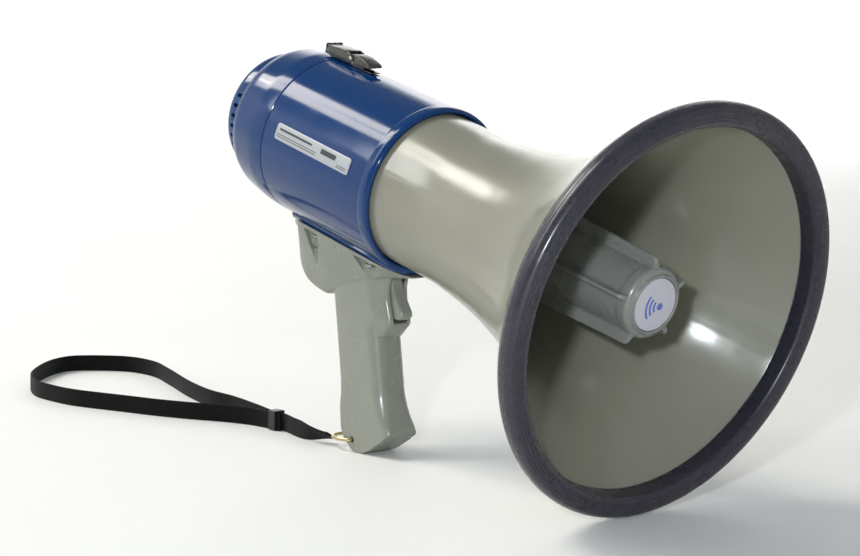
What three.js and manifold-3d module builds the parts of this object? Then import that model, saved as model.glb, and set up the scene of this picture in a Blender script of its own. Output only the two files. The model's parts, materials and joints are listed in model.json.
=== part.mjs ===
// Handheld megaphone: bell with rubber bumper and central reflector, battery tube with a hinged
// rear cap, pistol grip with talk trigger, and a webbing strap that lies behind it.
// Millimetres, +Z up, +X the way the bell points. The megaphone rests nose-down on the lowest
// point of the bumper and on the heel of the grip.
import * as THREE from 'three';
import { mergeVertices } from 'three/addons/utils/BufferGeometryUtils.js';
import Module from 'manifold-3d';

const wasm = await Module();
wasm.setup();

// Driving dimensions. Stations along the horn axis are measured from the mouth plane, where x = 0.
const RIM_R = 115;
const TUBE_R = 49.2;
const TUBE_IN = 46.8;
const TUBE_FRONT = -197.5;
const SEAM_X = -299.5;
const HORN_WALL = 2.4;
const THROAT_R = 45.9;
const TONE_R = 12;
const REFLECTOR_R = 19.6;
const RIB_COUNT = 5;
const BADGE_R = 14.8;
const CELL_R = 13;
const CELL_RING_R = 26.4;
const CELL_FRONT = -251.1;
const CELL_LENGTH = 49.4;
const HINGE = [-303.5, -53.8];
const LEVER_PIVOT = [-282.5, 51.9];
const CLAW_PIVOT = [-284, 53.9];
const LATCH_W = 11;
const GRIP_W = 24;
const HEEL = [-209.5, -167];
const HEEL_LAND = 4;
const TRIGGER_PIVOT = [-217.3, -61.5];
const TRIGGER_W = 9.6;
const SCREWS = [[-275, -15.5], [-275, 15.5], [-223.7, -15.5], [-223.7, 15.5]];
const RING_HOLE = [-217, -161.5];
const WEB_W = 11;
const WEB_T = 1.8;
const GAP = 0.3;
const SEG = 48;
const TILT = Math.atan2(-HEEL[1] - RIM_R, -HEEL[0]);

const BLUE = 0x2c4a7a;
const GREY = 0x9a9a88;
const DARK = 0x1d1d20;
const STEEL = 0xb9b9b4;
const BRASS = 0xc8b070;

const root = new THREE.Group();
const horn = new THREE.Group();
horn.rotation.y = TILT;
root.add(horn);

function add(name, geometry, color, roughness = 0.5, metalness = 0, parent = horn) {
  const material = new THREE.MeshStandardMaterial({ color, roughness, metalness });
  const mesh = new THREE.Mesh(geometry, material);
  mesh.name = name;
  parent.add(mesh);
  return mesh;
}

// Merged, position-only copy with its faces turned outward.
function closed(geometry) {
  let g = geometry.clone();
  for (const key of Object.keys(g.attributes)) {
    if (key !== 'position') g.deleteAttribute(key);
  }
  g = mergeVertices(g, 1e-4);
  const index = Array.from(g.index.array);
  const kept = [];
  for (let i = 0; i < index.length; i += 3) {
    const [a, b, c] = index.slice(i, i + 3);
    if (a !== b && b !== c && c !== a) kept.push(a, b, c);
  }
  if (volume(g.attributes.position, kept) < 0) {
    for (let i = 0; i < kept.length; i += 3) {
      [kept[i + 1], kept[i + 2]] = [kept[i + 2], kept[i + 1]];
    }
  }
  g.setIndex(kept);
  return g;
}

function volume(position, index) {
  const a = new THREE.Vector3();
  const b = new THREE.Vector3();
  const c = new THREE.Vector3();
  let sum = 0;
  for (let i = 0; i < index.length; i += 3) {
    a.fromBufferAttribute(position, index[i]);
    b.fromBufferAttribute(position, index[i + 1]);
    c.fromBufferAttribute(position, index[i + 2]);
    sum += a.dot(b.cross(c));
  }
  return sum;
}

function toSolid(geometry) {
  const g = closed(geometry);
  return new wasm.Manifold(new wasm.Mesh({
    numProp: 3,
    vertProperties: new Float32Array(g.attributes.position.array),
    triVerts: new Uint32Array(g.index.array),
  }));
}

function fromSolid(solid) {
  const mesh = solid.getMesh();
  const g = new THREE.BufferGeometry();
  g.setAttribute('position', new THREE.BufferAttribute(new Float32Array(mesh.vertProperties), 3));
  g.setIndex(new THREE.BufferAttribute(new Uint32Array(mesh.triVerts), 1));
  return g;
}

function join(...geometries) {
  let solid = toSolid(geometries[0]);
  for (const g of geometries.slice(1)) solid = solid.add(toSolid(g));
  return fromSolid(solid);
}

function cut(geometry, ...tools) {
  let solid = toSolid(geometry);
  for (const g of tools) solid = solid.subtract(toSolid(g));
  return fromSolid(solid);
}

function common(a, b) {
  return fromSolid(toSolid(a).intersect(toSolid(b)));
}

// Turned piece about the horn axis; profile rows are [x, radius].
function turned(profile, segments = 40) {
  const onAxis = profile[0][1] === 0 && profile[profile.length - 1][1] === 0;
  const points = profile.map(([x, r]) => new THREE.Vector2(r, x));
  if (!onAxis) points.push(points[0].clone());
  const g = new THREE.LatheGeometry(points, segments);
  g.rotateZ(-Math.PI / 2);
  return closed(g);
}

// Cylinder with its axis along x, y or z.
function rod(axis, center, radius, length, segments = 24) {
  const g = new THREE.CylinderGeometry(radius, radius, length, segments);
  if (axis === 'x') g.rotateZ(Math.PI / 2);
  if (axis === 'z') g.rotateX(Math.PI / 2);
  g.translate(...center);
  return closed(g);
}

function box(x0, x1, y0, y1, z0, z1) {
  const g = new THREE.BoxGeometry(x1 - x0, y1 - y0, z1 - z0);
  g.translate((x0 + x1) / 2, (y0 + y1) / 2, (z0 + z1) / 2);
  return closed(g);
}

// Side-view outline [x, z] given a width across y, with a small bevel on its edges.
function slab(outline, y0, y1, bevel = 0, steps = 2) {
  const shape = new THREE.Shape(outline.map(([x, z]) => new THREE.Vector2(x, z)));
  const g = new THREE.ExtrudeGeometry(shape, {
    depth: y1 - y0 - 2 * bevel,
    bevelEnabled: bevel > 0,
    bevelThickness: bevel,
    bevelSize: bevel,
    bevelOffset: -bevel,
    bevelSegments: steps,
    curveSegments: 8,
  });
  g.translate(0, 0, bevel);
  g.rotateX(Math.PI / 2);
  g.translate(0, y1, 0);
  return closed(g);
}

// Skin over rings of points, closed at both ends.
function loft(rings) {
  const n = rings[0].length;
  const position = [];
  const index = [];
  for (const ring of rings) {
    for (const p of ring) position.push(...p);
  }
  for (let k = 0; k < rings.length - 1; k++) {
    for (let i = 0; i < n; i++) {
      const a = k * n + i;
      const b = k * n + (i + 1) % n;
      index.push(a, b, b + n, a, b + n, a + n);
    }
  }
  const last = (rings.length - 1) * n;
  for (let i = 1; i < n - 1; i++) {
    index.push(0, i + 1, i);
    index.push(last, last + i, last + i + 1);
  }
  const g = new THREE.BufferGeometry();
  g.setAttribute('position', new THREE.Float32BufferAttribute(position, 3));
  g.setIndex(index);
  return closed(g);
}

function offsetProfile(points, distance) {
  return points.map(([x, r], i) => {
    const [x0, r0] = points[Math.max(i - 1, 0)];
    const [x1, r1] = points[Math.min(i + 1, points.length - 1)];
    const length = Math.hypot(x1 - x0, r1 - r0);
    return [x + distance * (r1 - r0) / length, r - distance * (x1 - x0) / length];
  });
}

// Turns a piece modelled at the top of the tube around the horn axis.
function around(geometry, angle) {
  const g = geometry.clone();
  g.rotateX(angle);
  return g;
}

// Horn bell: straight throat in the tube, then a flare out to the bumper.
const FLARE = [
  [-205, THROAT_R], [-161, 45.5], [-132, 48.5], [-103.5, 53.8], [-80, 60.5], [-60, 68.5],
  [-42, 79], [-26, 90.5], [-12, 101.4], [-3.4, 107.5],
];
const BELL_SEGMENTS = 48;
const inside = offsetProfile(FLARE, HORN_WALL);
inside[0] = [-202.2, 43.5];
add('horn_bell', turned([
  ...FLARE, ...inside.reverse(), [-202.2, 22], [-205, 22],
], BELL_SEGMENTS), GREY, 0.4);

// Rubber bumper gripping the edge of the bell.
const rimOuter = turned([
  [-12, 105], [-10.4, 111.2], [-5, 114.5], [0, RIM_R], [2.4, 113.5], [4, 110], [4.2, 105.6],
  [2.4, 101.9], [-3, 101.4], [-7.4, 101.3],
], BELL_SEGMENTS);
const slotOut = offsetProfile(FLARE.slice(-3), -GAP);
const slotIn = offsetProfile(FLARE.slice(-3), HORN_WALL + GAP).reverse();
slotOut.push([-2.6, 108.2]);
slotIn.unshift([-1.4, 106]);
add('rim_bumper', cut(rimOuter, turned([...slotOut, ...slotIn], BELL_SEGMENTS)), 0x37353c, 0.45);

// Reflector cup over the end of the tone tube, with ribs outside and three webs inside.
const REFLECTOR = [
  [-14, 0], [-14, 16.2], [-14.8, 17.6], [-17, 18.6], [-21, REFLECTOR_R], [-60, 20.4],
  [-110, 22.4], [-150, 26], [-150, 24], [-110, 20.4], [-60, 18.4], [-26, 17.6], [-19, 12], [-18, 0],
];
const rib = slab([
  [-16.8, 17.2], [-16.8, 23.4], [-17.8, 25.2], [-19.6, 25.8], [-60, 26.8], [-110, 28.2], [-146, 30.6],
  [-150, 27], [-150, 24.6], [-60, 19],
], -1.2, 1.2);
const web = slab([[-142, 15.2], [-142, 24.4], [-70, 19.4], [-70, 14]], -1, 1);
const reflectorParts = [turned(REFLECTOR, 32)];
for (let i = 0; i < RIB_COUNT; i++) {
  reflectorParts.push(around(rib, 0.1 + i * 2 * Math.PI / RIB_COUNT));
}
for (let i = 0; i < 3; i++) {
  reflectorParts.push(around(web, Math.PI / 6 + i * 2 * Math.PI / 3));
}
const badgePocket = turned([[-12, 0], [-12, BADGE_R + GAP], [-14.9, BADGE_R + GAP], [-14.9, 0]], 32);
add('reflector', cut(join(...reflectorParts), badgePocket), 0x5a5e5c, 0.4);
add('reflector_badge', turned([
  [-13.4, 0], [-13.4, BADGE_R - 0.8], [-13.9, BADGE_R], [-14.6, BADGE_R], [-14.6, 0],
], 32), 0x9b99a0, 0.3, 0.3);

// Tone tube carries the sound forward from the driver into the reflector.
add('tone_tube', turned([
  [-208.3, 43], [-205.3, 43], [-205.3, 19], [-203, 16.5], [-142, 14.6], [-44, TONE_R],
  [-44, TONE_R - 2], [-142, 12.2], [-208.3, 14.6],
], 32), GREY, 0.5);

// Compression driver behind the horn.
add('driver_ring', turned([[-212.8, 21], [-208.6, 21], [-208.6, 36], [-212.8, 36]], 28), DARK, 0.6);
add('driver_diaphragm', turned([
  [-213.6, 20.6], [-212.9, 20.6], [-211.4, 17], [-212.2, 13.2], [-209.6, 8], [-208.9, 0],
  [-209.6, 0], [-210.3, 7.6], [-212.6, 12.2], [-221, 12.2], [-221, 12.9], [-212.9, 13.4],
  [-212.2, 17],
], 24), 0xb08d57, 0.4, 0.2);
add('driver_top_plate', turned([
  [-218.6, 13.8], [-213.9, 13.8], [-213.9, 35], [-218.6, 35],
], 28), STEEL, 0.35, 0.9);
add('driver_magnet', turned([
  [-229, 17], [-218.9, 17], [-218.9, 36], [-229, 36],
], 28), 0x2b2b2d, 0.7);
add('driver_yoke', turned([
  [-235, 0], [-235, 33], [-229.3, 33], [-229.3, 11], [-214.5, 11], [-214.5, 0],
], 28), STEEL, 0.35, 0.9);

// Battery tube with the pad under it that seats the grip.
const tubeShell = turned([
  [SEAM_X, TUBE_R], [-199.6, TUBE_R], [-198, 48.7], [TUBE_FRONT, 47.8], [-197.8, 46.4],
  [-200, 46.4], [-201, TUBE_IN], [SEAM_X, TUBE_IN],
], SEG);
const padRing = turned([
  [-297.5, 48.4], [-297.5, 51.7], [-201, 51.7], [-198.6, 49.6], [-198.6, 48.4],
], SEG);
const pad = common(padRing, box(-300, -190, -20.5, 20.5, -60, -30));
const screwHoles = SCREWS.map(([x, y]) => rod('z', [x, y, -47], 1.8, 14, 16));
add('body_tube', cut(join(tubeShell, pad), ...screwHoles), BLUE, 0.3);

// Name plate wrapped on the near side of the tube.
const plateRing = turned([[-288, 49.5], [-218, 49.5], [-218, 50.1], [-288, 50.1]], 112);
const PLATE_ANGLE = 78.2 * Math.PI / 180;
const plateBlank = box(-290, -216, -5, 5, 40, 60);
add('name_plate', common(plateRing, around(plateBlank, PLATE_ANGLE)), 0xb2b6b8, 0.35, 0.6);

// Rear cap with a spigot that enters the tube, and a bulkhead behind the microphone.
add('rear_cap', turned([
  [-336, 0], [-336, 43.2], [-334.6, 44.8], [-330, 46.5], [-322, 47.6], [-312, 49],
  [SEAM_X - GAP, TUBE_R], [SEAM_X - GAP, 46], [-298.4, 46], [-298.4, 45.2], [-296.2, 45.2],
  [-296.2, 46], [-294.8, 46], [-294.8, 44.2], [-328, 44.2], [-334, 41.4], [-334, 0],
], SEG), BLUE, 0.3);
add('cap_seal', turned([
  [-298.1, 45.5], [-298.1, 46.2], [-297.3, 46.5], [-296.5, 46.2], [-296.5, 45.5],
], SEG), 0x111111, 0.7);

// Microphone cover: a drum with sound slots in its sides and holes at its centre.
const DRUM_REAR = -354.6;
const MIC_Z = 8;
const KNOB_Z = -22;
const VENT_FIRST = 69;
const VENT_PITCH = 9.4;
const coverShell = turned([
  [DRUM_REAR, 0], [DRUM_REAR, 29], [-353.4, 33.4], [-351, 37], [-347.6, 38.8], [-343, 39.3],
  [-336.4, 39.5], [-336.4, 37.5], [-343, 37.2], [-349.6, 34.6], [-352.6, 28], [-352.6, 0],
], SEG);
const ventBar = box(-345.4, -337.4, -1.15, 1.15, 34, 50);
const vents = [];
for (const side of [-1, 1]) {
  for (let i = 0; i < 6; i++) {
    vents.push(around(ventBar, side * (VENT_FIRST + i * VENT_PITCH) * Math.PI / 180));
  }
}
const grille = [rod('x', [DRUM_REAR, 0, MIC_Z], 1.3, 8, 10)];
for (let i = 0; i < 6; i++) {
  const t = i * Math.PI / 3;
  grille.push(rod('x', [DRUM_REAR, 5 * Math.sin(t), MIC_Z + 5 * Math.cos(t)], 1.3, 8, 10));
}
const knobHole = rod('x', [DRUM_REAR, 0, KNOB_Z], 3.3, 8, 20);
add('mic_cover', cut(coverShell, ...vents, ...grille, knobHole), BLUE, 0.3);
add('mic_holder', turned([
  [-350.2, 6.3], [-350.2, 9], [-342.6, 9], [-342.6, 6.3],
], 24).translate(0, 0, MIC_Z), 0x1a1a1a, 0.8);
add('mic_capsule', turned([
  [-350.6, 0], [-350.6, 6], [-343.2, 6], [-343.2, 0],
], 24).translate(0, 0, MIC_Z), 0xc7c7c7, 0.3, 0.8);

// Volume control on the rear face: its body inside the cover, its knob outside.
add('volume_pot', join(
  rod('x', [-340.5, 0, KNOB_Z], 8, 7, 24),
  rod('x', [-350, 0, KNOB_Z], 3, 15.6, 20),
), 0x8d8d88, 0.4, 0.6);
function knobShape(radius, flutes) {
  const shape = new THREE.Shape();
  for (let i = 0; i < flutes * 4; i++) {
    const t = i * Math.PI / (flutes * 2);
    const r = radius - (i % 4 < 2 ? 0 : 0.7);
    const x = r * Math.cos(t);
    const y = r * Math.sin(t);
    if (i === 0) shape.moveTo(x, y);
    else shape.lineTo(x, y);
  }
  shape.closePath();
  return shape;
}
const knobBody = new THREE.ExtrudeGeometry(knobShape(9.5, 10), {
  depth: 3.7, bevelThickness: 0.6, bevelSize: 0.6, bevelOffset: -0.6, bevelSegments: 1,
});
knobBody.rotateY(-Math.PI / 2);
knobBody.translate(-355.9, 0, KNOB_Z);
const knobBore = rod('x', [-356.2, 0, KNOB_Z], 3.1, 4, 20);
const knobMark = box(-361.6, -359, -0.7, 0.7, -19.5, -14);
add('volume_knob', join(cut(knobBody, knobBore), knobMark), DARK, 0.5);

// Cap hinge under the seam.
const [HX, HZ] = HINGE;
const capLeaf = join(
  rod('y', [HX, 0, HZ], 2.9, 10, 20),
  box(-312, HX - 0.5, -5, 5, -52, -49.6),
);
add('cap_hinge_leaf', cut(capLeaf, rod('y', [HX, 0, HZ], 1.4, 12, 20)), STEEL, 0.4, 0.8);
const bodyLeaf = join(
  rod('y', [HX, -7.2, HZ], 2.9, 3.6, 20),
  rod('y', [HX, 7.2, HZ], 2.9, 3.6, 20),
  slab([[HX, -56.7], [-293, -56.7], [-293, -52.3], [-299, -52.3], [HX, -53.4]], -9, 9),
);
const leafRelief = box(-308, -299.9, -5.3, 5.3, -60, -48);
add('body_hinge_leaf', cut(
  bodyLeaf, leafRelief, rod('y', [HX, 0, HZ], 1.4, 24, 20),
), STEEL, 0.4, 0.8);
add('cap_hinge_pin', rod('y', [HX, 0, HZ], 1.3, 18.6, 20), STEEL, 0.3, 0.9);

// Draw latch over the seam: base and lever on the tube, claw reaching over a strike on the cap.
const [LX, LZ] = LEVER_PIVOT;
const [CX, CZ] = CLAW_PIVOT;
const half = LATCH_W / 2;
const baseEar = [[-285.3, 49.6], [-285.3, 51.6], [LX - 1.6, 53.4], [LX + 1.6, 53.4], [-279, 49.6]];
// The ears are notched where the claw's pin passes as the lever opens.
const pinSweep = [0, 5, 10, 15, 20, 25].map((degrees) => {
  const t = degrees * Math.PI / 180;
  const x = CX - LX;
  const z = CZ - LZ;
  return rod('y', [
    LX + x * Math.cos(t) - z * Math.sin(t), 0, LZ + x * Math.sin(t) + z * Math.cos(t),
  ], 1.15, 12, 16);
});
add('latch_base', cut(
  join(box(-286, -266, -3.4, 3.4, 49.6, 50.3), slab(baseEar, -3.4, -2.6), slab(baseEar, 2.6, 3.4)),
  rod('y', [LX, 0, LZ], 0.9, 12, 16),
  ...pinSweep,
), STEEL, 0.35, 0.9);
const leverOutline = [
  [-285.9, 52], [-285.9, 55], [-284.8, 56.2], [-282, 56.8], [-278.6, 56.8], [-273, 56],
  [-268.6, 55], [-266.8, 54.2], [-266.4, 53.2], [-267.2, 52.5], [-269.6, 52.6], [-271.6, 51.4],
  [-273, 50.4], [-280, 50.3], [-284, 51],
];
const leverHollow = slab([
  [-287, 49], [-287, 54.9], [-282, 55.8], [-278.6, 55.8], [-274, 55], [-273, 49],
], -3.7, 3.7);
add('latch_lever', cut(
  cut(slab(leverOutline, -4.5, 4.5, 0.3, 1), leverHollow),
  rod('y', [LX, 0, LZ], 0.9, 12, 16),
  rod('y', [CX, 0, CZ], 0.9, 12, 16),
), STEEL, 0.3, 0.9);
add('latch_lever_pin', rod('y', [LX, 0, LZ], 0.8, 8.8, 16), STEEL, 0.3, 0.9);
const clawOutline = [
  [-308.4, 50.5], [-308.4, 55.2], [-307.4, 56], [-289, 57.2], [-284.4, 56.6], [-282, 55.2],
  [-281.6, 53.2],
  [-283, 51.6], [-288, 50.2], [-307, 50.2],
];
const clawHollow = slab([
  [-307.5, 49], [-307.5, 55.1], [-288.6, 56.3], [-288.6, 59], [-280, 59], [-280, 49],
], -half + 0.8, half - 0.8);
const clawTip = box(-310, -307.4, -half - 1, half + 1, 49, 50.5);
add('latch_claw', cut(
  cut(slab(clawOutline, -half, half, 0.3, 1), clawHollow, clawTip),
  rod('y', [CX, 0, CZ], 0.9, 14, 16),
), STEEL, 0.3, 0.9);
add('latch_claw_pin', rod('y', [CX, 0, CZ], 0.8, LATCH_W + 0.6, 16), STEEL, 0.3, 0.9);
add('latch_strike', box(-305.3, -301.6, -4, 4, 49.5, 50.9), STEEL, 0.35, 0.9);

// Battery holder: a spool with contact plates, and six cells in a ring.
add('battery_holder', turned([
  [-304, 0], [-304, 39.6], [-302.2, 39.6], [-302.2, 9], [-250, 9], [-250, 39.6],
  [-248.2, 39.6], [-248.2, 0],
], 32), 0x2a2a2c, 0.6);
add('rear_contact_plate', turned([
  [-301.9, 9.4], [-301.9, 38], [-301.4, 38], [-301.4, 9.4],
], 28), BRASS, 0.3, 0.9);
add('front_contact_plate', turned([
  [-250.8, 9.4], [-250.8, 38], [-250.3, 38], [-250.3, 9.4],
], 28), BRASS, 0.3, 0.9);
const cell = turned([
  [CELL_FRONT - CELL_LENGTH, 0], [CELL_FRONT - CELL_LENGTH, CELL_R - 0.6],
  [CELL_FRONT - CELL_LENGTH + 0.6, CELL_R], [CELL_FRONT - 2, CELL_R],
  [CELL_FRONT - 1.6, 3.6], [CELL_FRONT, 3.4], [CELL_FRONT, 0],
], 16);
for (let i = 0; i < 6; i++) {
  const t = Math.PI / 6 + i * Math.PI / 3;
  const g = cell.clone();
  g.translate(0, CELL_RING_R * Math.sin(t), CELL_RING_R * Math.cos(t));
  add(`battery_cell_${i + 1}`, g, i % 2 ? 0xb08a3a : 0x7a5a28, 0.35, 0.4);
}

// Amplifier board between driver and batteries.
add('amplifier_board', rod('x', [-243.6, 0, 0], 44.5, 1.6, 36), 0x2f5a3a, 0.6);
add('amplifier_transformer', box(-242.4, -225.5, -8, 8, 37, 43.5), 0x3a3a3e, 0.5, 0.3);
add('amplifier_capacitor', rod('x', [-235.4, 0, -41.4], 4, 13.6, 16), 0x22262e, 0.4);

// Grip moulding: saddle under the tube, trigger housing and handle in one piece.
function saddleRing(x, halfTop, halfLow, low) {
  const side = -49.4;
  return [
    [x, halfTop, -38], [x, halfTop, side], [x, (halfTop + halfLow) / 2 + 0.6, (side + low) / 2 - 0.6],
    [x, halfLow, low + 1.2], [x, halfLow - 1.6, low], [x, -halfLow + 1.6, low],
    [x, -halfLow, low + 1.2], [x, -(halfTop + halfLow) / 2 - 0.6, (side + low) / 2 - 0.6],
    [x, -halfTop, side], [x, -halfTop, -38],
  ];
}
const saddle = loft([
  saddleRing(-291.6, 19.2, 13.4, -67), saddleRing(-290.2, 19.8, 13, -75),
  saddleRing(-286.5, 20.3, 12.4, -81), saddleRing(-281, 20.3, 12, -84.6),
  saddleRing(-272, 20.3, 12, -86), saddleRing(-258, 20.3, 12, -85.5),
  saddleRing(-246, 20.3, 12.4, -73.6), saddleRing(-228, 20.3, 12.6, -65),
  saddleRing(-214, 19.6, 12.6, -58), saddleRing(-207, 16.5, 11, -55.4),
  saddleRing(-201, 12, 8, -53.4), saddleRing(-197.4, 7, 5, -52.4),
]);
const saddleSeat = turned([[-320, 0], [-320, 52], [-190, 52], [-190, 0]], 56);
// The trigger housing narrows towards its front: [height, front] at each station.
function housingRing([z, front]) {
  const side = [
    [z > -84 ? -250 : -240, 12.15], [front - 13, 12.15], [front - 3, 8.4], [front - 1.5, 8], [front - 0.4, 6.9],
    [front, 5.4],
  ];
  return [...side, ...side.map(([x, y]) => [x, -y]).reverse()].map(([x, y]) => [x, y, z]);
}
const housing = loft([
  [-54, -213.8], [-61.5, -213.8], [-66, -213.4], [-72, -211.4], [-77, -208.6], [-80, -206.8],
  [-83, -205.4], [-84.4, -205.2], [-86, -205.6], [-94.6, -210.8], [-95.6, -213], [-99, -213],
].map(housingRing));
const gripOutline = [
  [-262, -78], [-259, -86], [-256.6, -93], [-252.4, -104], [-246.6, -118.4], [-240.4, -135],
  [-235, -149], [-231, -157], [-224.5, -163.2], [-218, -166.6],
  [HEEL[0] - HEEL_LAND, HEEL[1] - HEEL_LAND * Math.tan(TILT)], HEEL,
  [-205.5, -165.6], [-200, -161.4], [-191.5, -152.6], [-187, -147.2], [-186.8, -144.6],
  [-189.6, -141.6], [-194.4, -135.8], [-198.6, -128], [-203.3, -117], [-208.5, -104],
  [-213.5, -92.5], [-217, -80],
];
const gripSide = slab(gripOutline, -GRIP_W / 2, GRIP_W / 2, 1.6, 2);
function gripRing(z, rear, front, corner) {
  const ring = [];
  const w = GRIP_W / 2 + 0.01;
  const centers = [[front - corner, w - corner], [rear + corner, w - corner],
    [rear + corner, corner - w], [front - corner, corner - w]];
  centers.forEach(([cx, cy], q) => {
    for (let k = 0; k <= 4; k++) {
      const t = (q * 4 + k) * Math.PI / 8;
      ring.push([cx + corner * Math.cos(t), cy + corner * Math.sin(t), z]);
    }
  });
  return ring;
}
const gripColumn = loft([
  gripRing(-76, -264, -215, 8), gripRing(-92, -257.2, -213.2, 9), gripRing(-104, -252.6, -208.3, 9.5),
  gripRing(-128, -243.2, -198.4, 9.5), gripRing(-138, -239.4, -192, 8.5),
  gripRing(-146, -236.5, -185.5, 6), gripRing(-158, -231, -183, 3.5), gripRing(-170, -226, -183, 2.5),
]);
const grip = common(gripSide, gripColumn);
const triggerSlot = slab([
  [-224, -57.3], [-208, -57.3], [-190, -70], [-190, -83.6], [-224, -83.6],
], -TRIGGER_W / 2 - 0.4, TRIGGER_W / 2 + 0.4);
const springWell = rod('x', [-226, 0, -66.5], 3.1, 9, 20);
const switchWell = box(-238, -222, -3.6, 3.6, -82, -71);
const rearScoop = slab([[-284, -51.9], [-270.5, -51.9], [-269.6, -56], [-270, -70.3]], 12.7, 30);
const frontScoop = slab([[-236, -51.9], [-215, -51.9], [-225.1, -60.6]], 12.7, 30);
const mirror = (g) => closed(g.clone().scale(1, -1, 1));
const headWells = SCREWS.map(([x, y]) => rod('z', [x, y, -56.4], 3.3, 9, 20));
const shankHoles = SCREWS.map(([x, y]) => rod('z', [x, y, -50], 1.8, 8, 16));
const leafNotch = box(-300, -292.4, -9.5, 9.5, -58, -40);
add('grip_housing', cut(
  join(saddle, housing, grip),
  saddleSeat, triggerSlot, springWell, switchWell, leafNotch,
  rearScoop, mirror(rearScoop), frontScoop, mirror(frontScoop), ...headWells, ...shankHoles,
  rod('y', [TRIGGER_PIVOT[0], 0, TRIGGER_PIVOT[1]], 1.6, 15.6, 20),
  rod('y', [RING_HOLE[0], 0, RING_HOLE[1]], 1.6, 40, 16),
), 0x8f9180, 0.45);
SCREWS.forEach(([x, y], i) => {
  const g = join(
    rod('z', [x, y, -53.2], 2.8, 1.8, 20),
    rod('z', [x, y, -48.4], 1.4, 8.4, 12),
  );
  add(`grip_screw_${i + 1}`, g, 0xd8d8d8, 0.25, 1);
});

// Trigger hinged at its top, with return spring, switch and plunger behind it.
const [TX, TZ] = TRIGGER_PIVOT;
const triggerSide = slab([
  [-220.4, -58.6], [-215.4, -58.6], [-214.9, -61.6], [-213.4, -64], [-210.8, -67],
  [-205.6, -71.8], [-202, -74.8], [-200.8, -77], [-201, -78.9], [-202.4, -80.4],
  [-204.6, -81], [-213, -81.2], [-219.6, -80.4], [-220.4, -77],
], -TRIGGER_W / 2, TRIGGER_W / 2, 0.6, 2);
const triggerFront = [
  [-58, -214.9], [-61.6, -214.9], [-64, -213.4], [-67, -210.8], [-71.8, -205.6], [-74.8, -202],
  [-77, -200.8], [-79, -201], [-82, -202.4],
];
const triggerColumn = loft(triggerFront.map(([z, front]) => {
  const w = TRIGGER_W / 2 + 0.01;
  const side = [[-230, w]];
  for (let k = 0; k <= 5; k++) {
    const t = (5 - k) * Math.PI / 10;
    side.push([front - 4 + 4 * Math.cos(t), w - 4 + 4 * Math.sin(t)]);
  }
  return [...side, ...side.map(([x, y]) => [x, -y]).reverse()].map(([x, y]) => [x, y, z]);
}));
add('trigger', cut(
  common(triggerSide, triggerColumn),
  rod('y', [TX, 0, TZ], 1.35, 20, 20),
  rod('x', [-221.2, 0, -66.5], 2.9, 5, 20),
), 0x7c7e6e, 0.45);
add('trigger_pin', rod('y', [TX, 0, TZ], 1.3, 14.8, 20), STEEL, 0.3, 0.9);
class Helix extends THREE.Curve {
  getPoint(t, target = new THREE.Vector3()) {
    const a = t * 5 * 2 * Math.PI;
    return target.set(-229.8 + 10.4 * t, 2 * Math.cos(a), -66.5 + 2 * Math.sin(a));
  }
}
const wire = new THREE.Shape();
wire.absarc(0, 0, 0.3, 0, 2 * Math.PI);
add('trigger_spring', closed(new THREE.ExtrudeGeometry(wire, {
  steps: 45, curveSegments: 3, extrudePath: new Helix(),
})), STEEL, 0.3, 0.9);
add('talk_switch', cut(
  box(-237.4, -226.6, -3.2, 3.2, -81.6, -71.4),
  rod('x', [-227.5, 0, -75], 1.3, 9, 16),
), DARK, 0.5);
add('switch_plunger', rod('x', [-224.2, 0, -75], 1.05, 6.6, 16), 0xc03028, 0.5);

// Wire ring through the heel; its ends meet inside the hole.
const ringPath = new THREE.CurvePath();
const RING_HALF = 14.6;
const RING_LENGTH = 21;
const ringDrop = -TILT - 0.02;
function ringPoint(back, y) {
  const [x, z] = RING_HOLE;
  return new THREE.Vector3(x - back * Math.cos(ringDrop), y, z + back * Math.sin(ringDrop));
}
const ringCurve = new THREE.CatmullRomCurve3([
  ringPoint(0, 0.4), ringPoint(0, 11), ringPoint(0.8, RING_HALF - 0.6), ringPoint(4, RING_HALF),
  ringPoint(RING_LENGTH - 8, RING_HALF), ringPoint(RING_LENGTH - 1.6, 11), ringPoint(RING_LENGTH, 6),
  ringPoint(RING_LENGTH, -6), ringPoint(RING_LENGTH - 1.6, -11),
  ringPoint(RING_LENGTH - 8, -RING_HALF), ringPoint(4, -RING_HALF),
  ringPoint(0.8, -RING_HALF + 0.6), ringPoint(0, -11), ringPoint(0, -0.4),
], false, 'centripetal');
const ringWire = new THREE.Shape();
ringWire.absarc(0, 0, 1.1, 0, 2 * Math.PI);
add('strap_ring', closed(new THREE.ExtrudeGeometry(ringWire, {
  steps: 44, curveSegments: 4, extrudePath: ringCurve,
})), BRASS, 0.3, 0.9);

// Webbing standing on edge on the surface: from the ring, round a long loop and back to the clip.
const strap = new THREE.Group();
root.add(strap);
const floorZ = HEEL[1] * Math.cos(TILT) - HEEL[0] * Math.sin(TILT);
const STRAP_ROUTE = [
  [-273, -9], [-290, -12.4], [-308, -9.6], [-322, -5.9], [-337, -4.9],
  [-361, 0], [-392, 5], [-418, 6], [-452, 14], [-501, 31], [-534, 40.5], [-558, 38], [-574, 25], [-584.5, 8], [-583, -4], [-574, -20],
  [-552, -44], [-536, -56], [-514, -65.5], [-492, -66.5], [-472, -64], [-446, -54.5],
  [-430, -48], [-414, -42], [-391, -31], [-371, -19], [-352, -10.8], [-338, -8.6], [-324, -8.5],
];
const routeCurve = new THREE.CatmullRomCurve3(
  STRAP_ROUTE.map(([x, y]) => new THREE.Vector3(x, y, floorZ + 0.15 + WEB_W / 2)),
  false, 'centripetal',
);
const w = WEB_W / 2;
const h = WEB_T / 2;
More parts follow.
